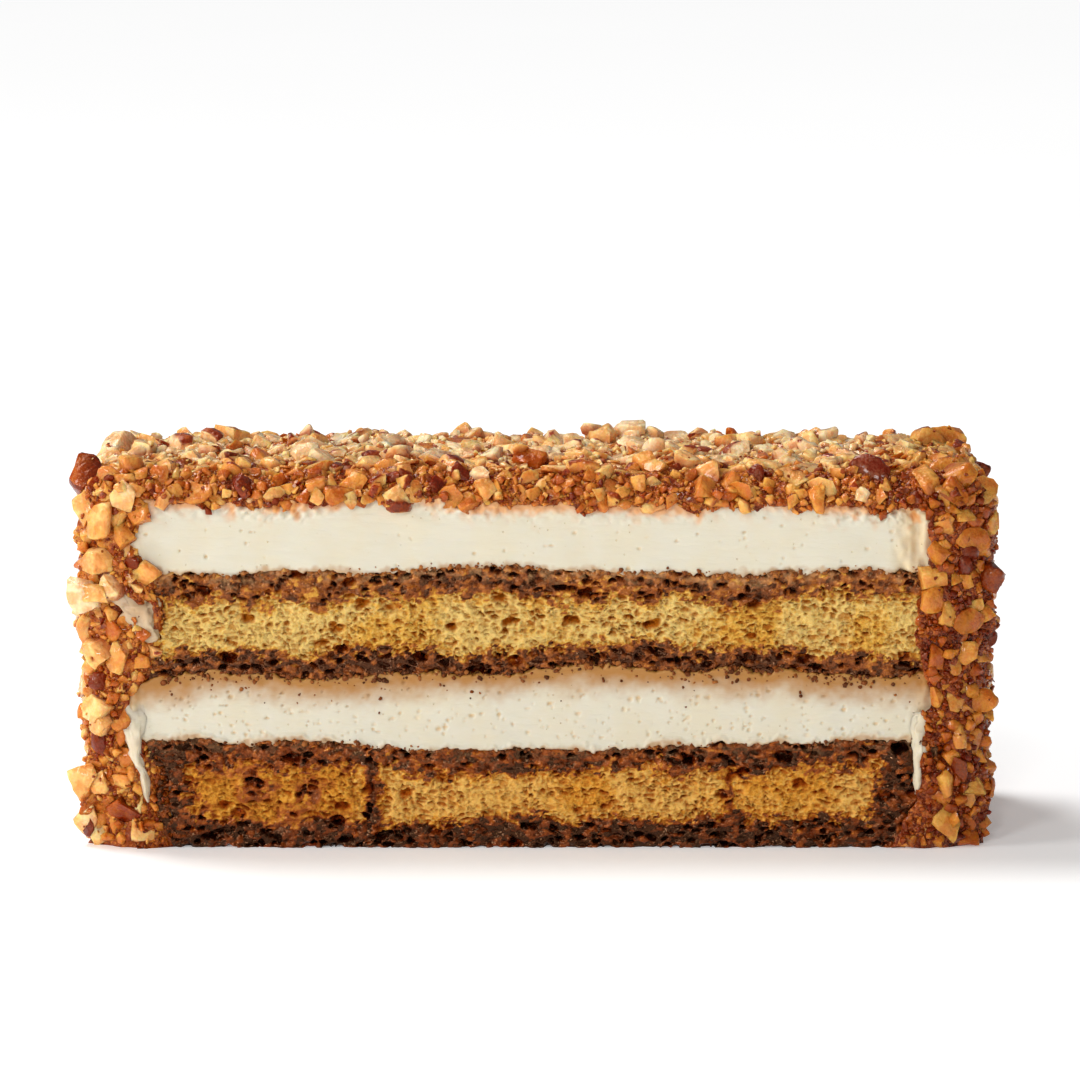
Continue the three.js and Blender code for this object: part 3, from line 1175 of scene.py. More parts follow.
@dataclass
class Cream:
    """A cream layer with the thin cream that runs down over the ends of the sponge below it."""

    name: str
    node: str
    low: Level
    high: Level
    mask_low: Level  # where the thin cream ends below
    seed: int
    bubbles: int
    coffee: float  # how strongly coffee has stained its top
    caramel: float
    torn: tuple[float, float]  # where its right end starts to be torn, and is
    lip: float = 0.0  # how far it bulges over the sponge below
    cover: float = 0.0  # how far the coat comes down over it
    smears: tuple[Smear, ...] = ()
    mask_stain: float = 0.25
    mask_depth: float = 0.15
    overlap: float = 1.0
    end_reach: float = 0.8
    carried: tuple[str, str, str] = ("stain", "caramel", "pit")
    bubbles_from: float = -50.0
    bubbles_to: float = 51.0
    counts: Counts = (620, 3, 62)
    mask_counts: Counts = (12, 3, 70)
    noise: ValueNoise = field(init=False)

    def __post_init__(self) -> None:
        """Draws the cream's unevenness."""
        self.noise = ValueNoise(self.seed)

    def pits(self, points: Array, face: float) -> tuple[Array, Array]:
        """The bubbles and tears in a cut face.

        Args:
            points: points of the face.
            face: 0 for the front and 1 for the back.

        Returns:
            How deep the pits are at each point, and how strongly the painted shade inside them
            shows.
        """
        random = np.random.default_rng(self.seed + 5 + int(face))
        pits: list[Pit] = []
        for _ in range(self.bubbles):
            x = random.uniform(self.bubbles_from, self.bubbles_to)
            low, high = self.low.height, self.high.height
            z = low + (high - low) * random.beta(1.2, 1.8)
            wide = 0.14 + 0.28 * random.random() ** 2.5
            pits.append(Pit(x, z, wide, wide * random.uniform(0.45, 0.9), random.uniform(0.1, 0.4)))
        depth = np.zeros(len(points))
        shade = np.zeros(len(points))
        order = np.argsort(points[:, 0])
        ordered = points[order, 0]
        for pit in pits:
            first, last = np.searchsorted(ordered, [pit.x - pit.wide, pit.x + pit.wide])
            near = order[first:last]
            away = ((points[near, 0] - pit.x) / pit.wide) ** 2
            away = away + ((points[near, 2] - pit.z) / pit.high) ** 2
            bowl = np.clip(1.0 - away, 0.0, 1.0) ** 0.6
            depth[near] = np.maximum(depth[near], bowl * pit.deep)
            # Painted shade: the deeper the pit, the more of its colour.
            shade[near] = np.maximum(shade[near], bowl * min(1.0, pit.deep * 2.0))
        return depth, shade

    def face_values(self, here: Array, face: float) -> tuple[Array, Values]:
        """The relief and the stains of a cut face.

        Args:
            here: points of the face.
            face: 0 for the front and 1 for the back.

        Returns:
            How deep each point lies behind the cut, and its stain, caramel and pit values.
        """
        y = here[:, 1]
        where = here + np.array([31.0, 0.0, 11.0]) * face
        pit_depth, shade = self.pits(here, face)
        # The knife leaves the face nearly flat, and torn at its two ends.
        drawn = self.noise.mix(where, (0.16, 9.0), (0.07, 2.8), (0.04, (3.0, 1.0, 0.6)))
        depth = drawn + pit_depth
        torn = np.maximum(smooth(here[:, 0], *self.torn), smooth(here[:, 0], -48.5, -51.5))
        rough = self.noise.mix(where, (0.6, (1.0, 1.0, 3.2)), (0.12, 0.8))
        depth = depth + torn * (1.3 * rough + 0.25)
        from_low = EDGES.above(self.low, here, y)
        from_high = -EDGES.above(self.high, here, y)
        inside = np.minimum(from_low, from_high - self.cover)
        depth = depth + 3.0 * smooth(inside, 0.1, -0.3)
        # Coffee from the sponge above and below, and caramel and curds under the almonds.
        drift = self.noise.mix(where, (0.9, 5.0), (0.5, 1.2))
        fine = 0.5 * self.noise.at(where - 30.0, 0.8) + 0.3 * self.noise.at(where, 0.4)
        band = smooth(from_high + 0.6 * drift + 0.6 * fine, 4.6, 0.1)
        stain = self.coffee * (0.95 * band + 0.15 * smooth(from_high + drift, 5.5, 1.0))
        seep = 0.7 * smooth(from_low + 0.3 * drift + 0.3 * fine, 0.9, 0.0)
        stain = np.maximum(stain, seep)
        slanted = where + (here[:, 2] * 0.3)[:, None] * np.array([1.0, 0.0, 0.0])
        streak = smooth(self.noise.at(slanted, (1.1, 1.0, 1.7)) + 0.5 * fine, 0.05, 0.6)
        patch = smooth(self.noise.at(where + 70.0, 9.0), -0.1, 0.4)
        caramel = self.caramel * streak * (0.3 + 0.7 * patch) * smooth(from_high, 4.2, 1.6)
        edge = 0.85 * self.caramel * smooth(from_high + 0.9 * drift + 0.4 * fine, 2.3, 0.9)
        curd = self.caramel * smooth(from_high, 3.4, 1.4) * (patch + 0.35)
        curds = self.noise.mix(where, (0.6, 0.75), (0.35, 0.4))
        depth = depth + curd * (curds - 0.1)
        lip = self.lip * smooth(np.abs(from_low + 0.3 * drift - 0.5), 0.45, 0.0)
        shade = np.maximum(shade, torn * (0.45 + 0.2 * fine))
        return depth - lip, {"stain": stain, "caramel": np.maximum(caramel, edge), "pit": shade}

    def _shell(self, counts: Counts, place: Placing) -> Shell:
        """A closed shell of cream with its two cut faces worked over.

        Args:
            counts: the steps of its surface.
            place: where its points are before that.

        Returns:
            The points, the faces and what the points carry.
        """
        half = SHAPE.depth / 2.0
        points, faces, lattice = shaped_box(counts, place)
        values = {name: np.zeros(len(points)) for name in self.carried}
        for v, sign in CUT_FACES:
            face = lattice[:, 1] == v
            depth, found = self.face_values(points[face], v)
            points[face, 1] = sign * (half - depth)
            for name, value in found.items():
                values[name][face] = value
        return points, faces, values

    def slab(self, *spot: Array) -> Array:
        """Where the layer's own points are."""

        def reach(side: int, y: Array, z: Array) -> Array:
            """How far the cream runs on inside the coat."""
            return SHAPE.inner_face(side, y, z) + self.end_reach

        lifts = (-self.overlap, self.overlap)
        return SHAPE.layer((self.low, self.high), lifts, reach, spot)

    def mask(self, side: int) -> Shell:
        """The thin cream over one end of the sponge below.

        Args:
            side: -1 for the left end and 1 for the right.

        Returns:
            The shell's points, faces and values.
        """
        half = SHAPE.depth / 2.0
        end = SHAPE.left if side < 0 else SHAPE.right

        def place(u: Array, v: Array, w: Array) -> Array:
            """Where the thin cream's points are."""
            y = (v - 0.5) * SHAPE.depth
            across = np.full_like(u, side * end.half)
            bottom = SHAPE.height(self.mask_low, across, y) + 0.6
            top = SHAPE.height(self.low, across, y) + 1.0
            z = bottom + (top - bottom) * w
            taper = 0.35 + 0.65 * w
            inner = SHAPE.sponge_end(side, y, z) - 0.5
            outer = inner + 0.4 + (SHAPE.inner_face(side, y, z) + 0.4 - inner) * taper
            share = 1.0 - u if side < 0 else u
            x = inner + (outer - inner) * share
            wave = np.stack([x, y, z], axis=1)
            x = x + self.noise.mix(wave, (0.35, 1.7), (0.15, 0.6)) * share
            return np.stack([side * x, y, z], axis=1)

        points, faces, lattice = shaped_box(self.mask_counts, place)
        values = {name: np.zeros(len(points)) for name in self.carried}
        for v, sign in CUT_FACES:
            face = lattice[:, 1] == v
            here = points[face]
            middle = np.abs(lattice[face, 0] - 0.5) * 2.0
            pit_depth, shade = self.pits(here, v)
            rough = self.noise.mix(here, (0.3, 1.6), (0.15, 0.6))
            depth = self.mask_depth + rough + 0.5 * middle**2 + pit_depth
            points[face, 1] = sign * (half - depth)
            values["pit"][face] = shade
            values["stain"][face] = self.mask_stain + 0.2 * self.noise.at(here, 2.0)
        return points, faces, values

    def build(self, finish: CreamFinish) -> bpy.types.Object:
        """Makes the cream.

        Args:
            finish: how it looks.

        Returns:
            The finished piece.
        """
        solid = Solid()
        solid.add(*self._shell(self.counts, self.slab))
        for side in (-1, 1):
            solid.add(*self.mask(side))
        for smear in self.smears:
            solid.add(*smear.shell(self.noise))
        piece = solid.to_object(self.name, finish.material())
        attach(piece, ROOT)
        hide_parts(self.node)
        return piece


@dataclass
class CoatCore:
    """The fine crumb and caramel of the coat, which the larger pieces sit in."""

    name: str = "almond_crust"
    node: str = "almond_coat"
    seed: int = 90
    sink: float = 0.1  # how far its outside lies under the solid's
    edge_shift: float = 0.6  # how far its inner edge stands back from the layers
    edge_tilt: float = 0.8  # how much less so at the right, and more so at the left
    foot_bare: float = 2.8  # how much further it stands back at the left foot
    # The x, z, half width, half height and depth of hollows in the front rim.
    cavities: tuple[tuple[float, float, float, float, float], ...] = (
        (-51.6, 12.4, 1.0, 2.0, 2.8),
        (-52.0, 30.5, 0.8, 1.3, 1.8),
        (51.6, 12.0, 0.9, 1.5, 2.0),
    )
    counts: Counts = (440, 64, 15)

    def build(self, finish: CrustFinish) -> bpy.types.Object:
        """Makes the crust.

        Args:
            finish: how it looks.

        Returns:
            The finished piece.
        """
        noise = ValueNoise(self.seed)

        def place(u: Array, v: Array, w: Array) -> Array:
            """Where the crust's points are, with its lumps, hollows and ragged edges."""
            points = SHAPE.crust(u, v, w)
            normal = SHAPE.crust_normal(
                np.clip(u, 0.005, 0.995), np.clip(v, 0.01, 0.99), np.clip(w, 0.0, 1.0)
            )
            # Lumps outside, then bits and hollows on the cut rim, then its ragged inner edge.
            lumps = noise.mix(points, (0.55, 2.4), (0.4, 1.0))
            lumps = lumps + 0.2 * noise.at(points + 40.0, 0.6) - self.sink
            outside = smooth(w, 0.5, 1.0)
            points = points + normal * (lumps * outside)[:, None]
            end = np.where(v == 0.0, -1.0, np.where(v == 1.0, 1.0, 0.0))
            bits = 0.3 * noise.at(points + 9.0, 1.2) + 0.2 * noise.at(points, 0.6)
            hole = np.zeros_like(u)
            for x, z, wide, high, deep in self.cavities:
                away = ((points[:, 0] - x) / wide) ** 2 + ((points[:, 2] - z) / high) ** 2
                hole = np.maximum(hole, deep * np.exp(-away))
            points[:, 1] += end * (1.0 - outside) * (bits + 0.5 - hole * (v == 0.0))
            ragged = 1.1 * noise.at(points - 20.0, 3.4) + 0.8 * noise.at(points + 15.0, 1.3)
            ragged = ragged + 0.4 * noise.at(points, 0.6) - self.edge_shift
            ragged = ragged + self.edge_tilt * np.clip(points[:, 0] / 50.0, -1.0, 1.0)
            foot = smooth(points[:, 2], 14.0, 9.0) * smooth(points[:, 0], 0.0, -20.0)
            ragged = ragged - self.foot_bare * foot
            inward = ragged * np.abs(end) * smooth(w, 0.35, 0.0)
            points = points - normal * inward[:, None]
            points[:, 2] = np.maximum(points[:, 2], 0.0)
            return points

        points, faces, _ = shaped_box(self.counts, place)
        # Painted shade: the deep value is higher where the core lies low between its lumps, and
        # towards the right end.
        low = -noise.mix(points, (1.0, 2.4), (0.8, 1.0), (0.5, 0.6))
        solid = Solid()
        low = np.clip(low, 0.0, 1.0) + 0.7 * smooth(points[:, 0], 40.0, 54.0)
        solid.add(points, faces, {"deep": low})
        piece = solid.to_object(self.name, finish.material())
        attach(piece, ROOT)
        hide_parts(self.node)
        return piece


class Form(Enum):
    """What a chopped piece is like."""

    CHUNK = "chunk"
    SLIVER = "sliver"
    SLICE = "slice"
    FLAKE = "flake"
    CRUMB = "crumb"
    GLOB = "glob"


@dataclass(frozen=True)
class Cutter:
    """Chops almonds: makes a few different pieces of each form, one unit long."""

    seed: int
    fineness: int
    cuts: int
    bevel: float
    skin_share: float
    relief: float = 0.0
    longest_edge: float = 0.2

    PROPORTIONS = {
        Form.CHUNK: (1.15, 0.95, 0.8),
        Form.SLIVER: (1.2, 0.56, 0.5),
        Form.SLICE: (1.05, 0.66, 0.6),
        Form.FLAKE: (1.0, 0.62, 0.07),
        Form.CRUMB: (1.0, 0.85, 0.75),
        Form.GLOB: (1.0, 0.8, 0.5),
    }
    SIDES = ((0, 0, 1), (0, 0, -1), (0, 1, 0), (1, 0, 0), (0, -1, 0), (-1, 0, 0))
    SHARP = math.radians(78.0)
    BEVEL_FROM = 0.5
    SIDE_SHARES = (0.4, 0.7)
    CORNER_SHARES = (0.6, 0.85)
    LEAST_REACH = 0.05
    MERGE_WITHIN = 0.004

    def planes(self, form: Form, random: np.random.Generator) -> list[tuple[Array, float]]:
        """The knife's cuts through a kernel.

        Args:
            form: what the piece is like.
            random: where chance comes from.

        Returns:
            The way each cut looks, and how far out it lies against the kernel's own reach.
        """
        if form is Form.SLICE:
            lean = random.normal(size=2) * 0.12
            up = np.array([lean[0], lean[1], 1.0])
            return [(up, 0.22), (-up, 0.2), (random.normal(size=3) * [1.0, 1.0, 0.2], 0.75)]
        # The first cuts make a rough block, and the others take off its corners.
        found = []
        for number in range(self.cuts):
            if number < len(self.SIDES):
                way = np.array(self.SIDES[number]) + random.normal(size=3) * 0.3
                found.append((way, random.uniform(*self.SIDE_SHARES)))
            else:
                way = random.normal(size=3)
                found.append((way, random.uniform(*self.CORNER_SHARES)))
        return found

    def cut(self, kernel: bmesh.types.BMesh, way: Array, share: float, mark: object) -> None:
        """Cuts a kernel with a plane and closes the cut.

        Args:
            kernel: what is cut.
            way: the way the cut looks.
            share: how far out it lies, against the kernel's reach that way.
            mark: the face layer that says which faces are cuts.
        """
        way = way / np.linalg.norm(way)
        reach = max(float(np.dot(vert.co, way)) for vert in kernel.verts)
        if reach <= self.LEAST_REACH:
            return
        geometry = list(kernel.verts) + list(kernel.edges) + list(kernel.faces)
        bmesh.ops.bisect_plane(
            kernel, geom=geometry, dist=1e-4, plane_co=Vector(way * reach * share),
            plane_no=Vector(way), clear_outer=True,
        )
        rim = [edge for edge in kernel.edges if edge.is_boundary]
        for face in bmesh.ops.holes_fill(kernel, edges=rim)["faces"]:
            face[mark] = 1

    def roughen(self, kernel: bmesh.types.BMesh, noise: ValueNoise) -> None:
        """Gives the cuts the shallow scoops and ridges of a split nut.

        Args:
            kernel: what is roughened.
            noise: what the scoops follow.
        """
        long = [edge for edge in kernel.edges if edge.calc_length() > self.longest_edge]
        bmesh.ops.subdivide_edges(kernel, edges=long, cuts=1)
        bmesh.ops.triangulate(kernel, faces=list(kernel.faces))
        kernel.normal_update()
        places = np.array([vert.co for vert in kernel.verts])
        shifts = noise.at(places + 8.0, 0.34) + 0.6 * noise.at(places + 4.0, 0.16)
        for vert, shift in zip(kernel.verts, shifts * self.relief):
            vert.co += vert.normal * float(shift)

    def chop(self, form: Form, number: int, skinned: bool | None = None) -> bpy.types.Object:
        """Makes one piece.

        Args:
            form: what it is like.
            number: which of its kind it is.
            skinned: whether its skin is left on, or None where chance decides.

        Returns:
            The piece, unlinked, about one unit long.
        """
        random = np.random.default_rng([self.seed, number])
        noise = ValueNoise(self.seed * 100 + number)
        kernel = bmesh.new()
        bmesh.ops.create_icosphere(kernel, subdivisions=self.fineness, radius=0.5)
        extent = np.array(self.PROPORTIONS[form])
        places = np.array([vert.co for vert in kernel.verts]) * extent
        dents = 1.0 + 0.16 * noise.at(places + 3.0, 0.3)
        for vert, place in zip(kernel.verts, places * dents[:, None]):
            vert.co = place
        mark = kernel.faces.layers.int.new("cut")
        if form not in (Form.FLAKE, Form.GLOB):
            for way, share in self.planes(form, random):
                self.cut(kernel, way, share, mark)
        bare = form is not Form.FLAKE and random.random() > self.skin_share
        bare = bare if skinned is None else not skinned
        if self.bevel > 0.0:
            corners = [
                edge for edge in kernel.edges
                if len(edge.link_faces) == 2 and edge.calc_face_angle(0.0) > self.BEVEL_FROM
            ]
            bmesh.ops.bevel(
                kernel, geom=corners, offset=self.bevel, segments=1, profile=0.5,
                affect="EDGES", clamp_overlap=True,
            )
        bmesh.ops.remove_doubles(kernel, verts=list(kernel.verts), dist=self.MERGE_WITHIN)
        bmesh.ops.triangulate(kernel, faces=list(kernel.faces))
        if self.relief > 0.0:
            self.roughen(kernel, noise)
        if form is Form.FLAKE:
            for vert in kernel.verts:
                vert.co.z += 0.5 * vert.co.x**2 + 0.3 * vert.co.y**2
        bmesh.ops.recalc_face_normals(kernel, faces=list(kernel.faces))
        skin = []
        for vert in kernel.verts:
            whole = sum(1 for face in vert.link_faces if face[mark] == 0)
            skin.append(0.0 if bare else whole / max(1, len(vert.link_faces)))
        kernel.faces.layers.int.remove(mark)
        mesh = bpy.data.meshes.new(f"{form.value}_{number}")
        kernel.to_mesh(mesh)
        kernel.free()
        heights = [vert.co.z * 2.0 for vert in mesh.vertices]
        carry(mesh, {"skin": skin, "height": heights})
        mesh.polygons.foreach_set("use_smooth", np.full(len(mesh.polygons), form is not Form.CRUMB))
        mesh.set_sharp_from_angle(angle=math.pi if form is Form.GLOB else self.SHARP)
        return bpy.data.objects.new(mesh.name, mesh)


class PieceTree(NodeMaker):
    """The Geometry Nodes tree that sets chopped pieces on points."""

    def __init__(self) -> None:
        """Builds the tree."""
        self.tree = bpy.data.node_groups.new("set_pieces_on_points", "GeometryNodeTree")
        self.sockets: dict[str, str] = {}
        face = self.tree.interface
        face.new_socket("Geometry", in_out="OUTPUT", socket_type="NodeSocketGeometry")
        for label, kind in (
            ("Geometry", "NodeSocketGeometry"),
            ("Pieces", "NodeSocketCollection"),
            ("Scale", "NodeSocketFloat"),
            ("Tilt", "NodeSocketFloat"),
            ("Seed", "NodeSocketInt"),
            ("Finish", "NodeSocketMaterial"),
        ):
            made = face.new_socket(label, in_out="INPUT", socket_type=kind)
            self.sockets[label] = made.identifier
        self._wire()

    def _step(
        self, kind: str, inputs: dict, settings: dict | None = None
    ) -> bpy.types.NodeSocket:
        """Adds a node and gives its first output."""
        return self.node(kind, settings, inputs).outputs[0]

    def _carried(self, name: str, kind: str) -> bpy.types.NodeSocket:
        """What the points carry under a name."""
        return self._step("GeometryNodeInputNamedAttribute", {"Name": name}, {"data_type": kind})

    def _wire(self) -> None:
        """Joins the nodes: pick, stand, tilt, spin and size each piece, then make it real."""
        given = self.node("NodeGroupInput").outputs
        stand, size = self._carried("stand", "FLOAT_VECTOR"), self._carried("size", "FLOAT")
        upright = self._step("FunctionNodeAlignRotationToVector", {"Vector": stand}, {"axis": "Z"})
        lean = self._step("ShaderNodeCombineXYZ", {0: given["Tilt"], 1: given["Tilt"], 2: math.pi})
        least = self._step("ShaderNodeVectorMath", {0: lean, "Scale": -1.0}, {"operation": "SCALE"})
        turn = self._step(
            "FunctionNodeRandomValue",
            {0: least, 1: lean, "Seed": given["Seed"]},
            {"data_type": "FLOAT_VECTOR"},
        )
        euler = self._step("FunctionNodeEulerToRotation", {0: turn})
        rotation = self._step(
            "FunctionNodeRotateRotation", {0: upright, 1: euler}, {"rotation_space": "LOCAL"}
        )
        pieces = self._step(
            "GeometryNodeCollectionInfo",
            {"Collection": given["Pieces"], "Separate Children": True, "Reset Children": True},
        )
        long = self._step("ShaderNodeMath", {0: size, 1: given["Scale"]}, {"operation": "MULTIPLY"})
        pick = self._carried("pick", "INT")
        points = self._step("GeometryNodeMeshToPoints", {"Mesh": given["Geometry"]})
        laid = self._step(
            "GeometryNodeInstanceOnPoints",
            {
                "Points": points,
                "Instance": pieces,
                "Pick Instance": True,
                "Instance Index": pick,
                "Rotation": rotation,
                "Scale": long,
            },
        )
        real = self._step("GeometryNodeRealizeInstances", {"Geometry": laid})
        done = self._step(
            "GeometryNodeSetMaterial", {"Geometry": real, "Material": given["Finish"]}
        )
        self.node("NodeGroupOutput", None, {0: done})

    def bake(
        self,
        name: str,
        places: "Places",
        pieces: list[bpy.types.Object],
        material: bpy.types.Material,
        tilt: float,
        seed: int,
    ) -> bpy.types.Object:
        """Sets pieces on points and makes one plain mesh of them.

        Args:
            name: the new piece's name.
            places: where they go.
            pieces: what is set there, one unit long each.
            material: their finish.
            tilt: how far each may lean, in radians.
            seed: what the picks and turns are drawn from.

        Returns:
            The new object, at the origin.
        """
        store = bpy.data.collections.new(f"{name}_pieces")
        for piece in pieces:
            store.objects.link(piece)
        seedbed = place_object(f"{name}_points", places.to_mesh(name))
        modifier = seedbed.modifiers.new("set_pieces", "NODES")
        modifier.node_group = self.tree
        for label, value in (
            ("Pieces", store),
            ("Scale", MM),
            ("Tilt", tilt),
            ("Seed", seed),
            ("Finish", material),
        ):
            modifier[self.sockets[label]] = value
        graph = bpy.context.evaluated_depsgraph_get()
        mesh = bpy.data.meshes.new_from_object(seedbed.evaluated_get(graph))
        seedbed.modifiers.remove(modifier)
        bpy.data.objects.remove(seedbed)
        for piece in pieces:
            bpy.data.objects.remove(piece)
        bpy.data.collections.remove(store)
        self._keep_inside(mesh)
        mesh.name = name
        return place_object(name, mesh)

    @staticmethod
    def _keep_inside(mesh: bpy.types.Mesh) -> None:
        """Cuts the pieces to the part's box, as the board under the slice and the knife do."""
        points = np.zeros(len(mesh.vertices) * 3, np.float32)
        mesh.vertices.foreach_get("co", points)
        points = inside_box(points.reshape(-1, 3)).astype(np.float32)
        mesh.vertices.foreach_set("co", points.ravel())
        mesh.update()


@dataclass
class Places:
    """Points that pieces are set on."""

    rows: list[tuple[Array, Array, float, float, int]] = field(default_factory=list)

    def add(self, point: Array, stand: Array, size: float, tone: float, pick: int) -> None:
        """Adds a place.

        Args:
            point: where it is.
            stand: which way up is there.
            size: the piece's length.
            tone: how dark the piece is.
            pick: which of the pieces goes there.
        """
        self.rows.append((point, stand, size, tone, pick))

    def to_mesh(self, name: str) -> bpy.types.Mesh:
        """The places as a mesh of bare points, in metres."""
        points, stands, sizes, tones, picks = zip(*self.rows)
        mesh = bpy.data.meshes.new(f"{name}_places")
        mesh.from_pydata(((np.array(points) + OFFSET) * MM).tolist(), [], [])
        stand = mesh.attributes.new("stand", "FLOAT_VECTOR", "POINT")
        stand.data.foreach_set("vector", np.array(stands, np.float32).ravel())
        carry(mesh, {"size": sizes, "tone": tones})
        pick = mesh.attributes.new("pick", "INT", "POINT")
        pick.data.foreach_set("value", np.array(picks, np.int32))
        return mesh


class Ground:
    """Everything laid so far, which the next pieces land on."""

    def __init__(self) -> None:
        """Starts with nothing laid."""
        self.trees: list[BVHTree] = []
        self.kept_clear = 0  # how many of the first things laid stay free of pieces
        self.bare = 99  # how many of them are bare ground and no pieces

    def add(self, piece: bpy.types.Object) -> None:
        """Lays a piece."""
        self.trees.append(BVHTree.FromObject(piece, bpy.context.evaluated_depsgraph_get()))

    def meet(self, start: Array, way: Array) -> tuple[Array, Array, int] | None:
        """Where a line first meets what is laid.

        Args:
            start: where the line starts, in millimetres.
            way: where it runs to.

        Returns:
            The point in millimetres, the surface's way out there and how many pieces were laid
            before the one that is met, or None.
        """
        origin, direction = Vector((start + OFFSET) * MM), Vector(way)
        best = None
        for number, tree in enumerate(self.trees):
            point, normal, _, distance = tree.ray_cast(origin, direction)
            if point is not None and (best is None or distance < best[2]):
                best = (point, normal, distance, number)
        if best is None:
            return None
        return np.array(best[0]) / MM - OFFSET, np.array(best[1]), best[3]


@dataclass(frozen=True)
class Scatter:
    """A kind of piece that is strewn over the coat."""

    name: str
    forms: tuple[Form, ...]
    count: int
    smallest: float
    largest: float
    spacing: float  # how far apart pieces are, against their sizes
    lift: float  # how far off the ground their middles are, against the size
    rim_share: float  # how many are on the cut rims
    top_share: float  # how many are on the top
    tones: tuple[float, float]
    material: bpy.types.Material
    cutter: Cutter
    kinds: int
    tilt: float
    seed: int
    on_pieces: float = 1.0  # how often a place on another piece is taken
    rim_from: float = 0.2  # where the rim begins, with 0 inside and 1 outside
    tries: int = 9  # places drawn for each piece

    TOP = (0.21, 0.79)
    LEG = (0.004, 0.235)
    RIGHT_SHADE_SPAN = (38.0, 54.0)
    FRONT_EDGE = (-3.0, -13.0)
    BURNT_FROM = 0.93
    BURNT = 0.4

    def candidates(self, random: np.random.Generator) -> tuple[Array, Array, Array, Array]:
        """Draws places on the crust.

        Args:
            random: where chance comes from.

        Returns:
            The points, the ways out of the crust there, and whether each is on a cut rim and on
            the top.
        """
        number = self.count * self.tries
        on_rim = random.random(number) < self.rim_share
        on_top = random.random(number) < self.top_share
        u = np.where(
            on_top, random.uniform(*self.TOP, number), random.uniform(*self.LEG, number)
        )
        u = np.where(~on_top & (random.random(number) < 0.5), 1.0 - u, u)
        v = random.uniform(0.02, 0.98, number)
        v = np.where(on_rim, random.integers(0, 2, number), v)
        # Pieces on a cut rim keep off the cream and the sponge, further out at the feet.
        low = self.rim_from + 0.22 * smooth(np.minimum(u, 1.0 - u), 0.075, 0.055)
        low = low + 0.2 * smooth(u, 0.09, 0.07) * (self.rim_from < 0.0)
        w = np.where(on_rim, low + (1.0 - low) * random.random(number), 1.0)
        points = SHAPE.crust(u, v, w)
        normals = SHAPE.crust_normal(u, np.clip(v, 0.01, 0.99), w)
        outward = np.zeros_like(normals)
        outward[:, 1] = np.where(v == 0.0, -1.0, 1.0)
        normals = np.where(on_rim[:, None], 0.25 * normals + outward, normals)
        normals = normals / np.linalg.norm(normals, axis=1, keepdims=True)
        return points, normals, on_rim, on_top

    def places(self, ground: Ground) -> Places:
        """Finds where the pieces go, the largest first, each with some room of its own.

        Args:
            ground: what they land on.

        Returns:
            The places.
        """
        random = np.random.default_rng(self.seed)
        found = Places()
        room = np.zeros((self.count, 4))
        chances = random.random((self.count * self.tries, 3))
        for point, normal, on_rim, on_top, chance in zip(*self.candidates(random), chances):
            made = len(found.rows)
            if made == self.count:
                break
            size = self.largest * (self.smallest / self.largest) ** ((made / self.count) ** 0.6)
            size *= 0.85 + 0.3 * chance[0]
            met = ground.meet(point + normal * FALL, -normal)
            if met is None or met[2] < ground.kept_clear:
                continue
            if met[2] >= ground.bare and chance[1] > self.on_pieces:
                continue
            spot, out = met[0] + normal * size * self.lift, met[1]
            gap = np.linalg.norm(room[:made, :3] - spot, axis=1)
            if np.any(gap < self.spacing * (room[:made, 3] + size)):
                continue
            spot = inside_room(spot, size)
            room[made] = [*spot, size]
            stand = normal + 0.35 * out
            low, high = self.tones
            # A few are burnt. Those at the cut rims and the right end are darker, the small ones
            # most, which at the right end is painted shade. Painted light makes those on the top
            # paler, except near its front edge.
            tone = low + (high - low) * chance[2] + self.BURNT * (chance[2] > self.BURNT_FROM)
            tone += on_rim * max(0.34 - 0.06 * size, 0.08)
            tone += max(0.44 - 0.12 * size, 0.06) * float(smooth(spot[0], *self.RIGHT_SHADE_SPAN))
            tone -= on_top * (0.3 - 0.34 * float(smooth(spot[1], *self.FRONT_EDGE)))
            pick = int(chance[1] * 997.0 + made) % self.kinds
            found.add(spot, stand / np.linalg.norm(stand), size, tone, pick)
        return found

    def build(self, tree: PieceTree, ground: Ground) -> bpy.types.Object:
        """Strews the pieces.

        Args:
            tree: what sets pieces on points.
            ground: what they land on, to which they are added.

        Returns:
            The finished piece.
        """
        shapes = [
            self.cutter.chop(self.forms[number % len(self.forms)], number)
            for number in range(self.kinds)
        ]
        places = self.places(ground)
        piece = tree.bake(self.name, places, shapes, self.material, self.tilt, self.seed)
        ground.add(piece)
        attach(piece, ROOT)
        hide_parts("almond_coat")
        LOG.info("%s: %d pieces", self.name, len(places.rows))
        return piece


@dataclass(frozen=True)
class Landmark:
    """A piece of almond that stands out in the photograph, at its column and row there."""

    x: float
    y: float
    size: float
    form: Form
    tone: float
    skinned: bool = False
    lift: float = 0.06


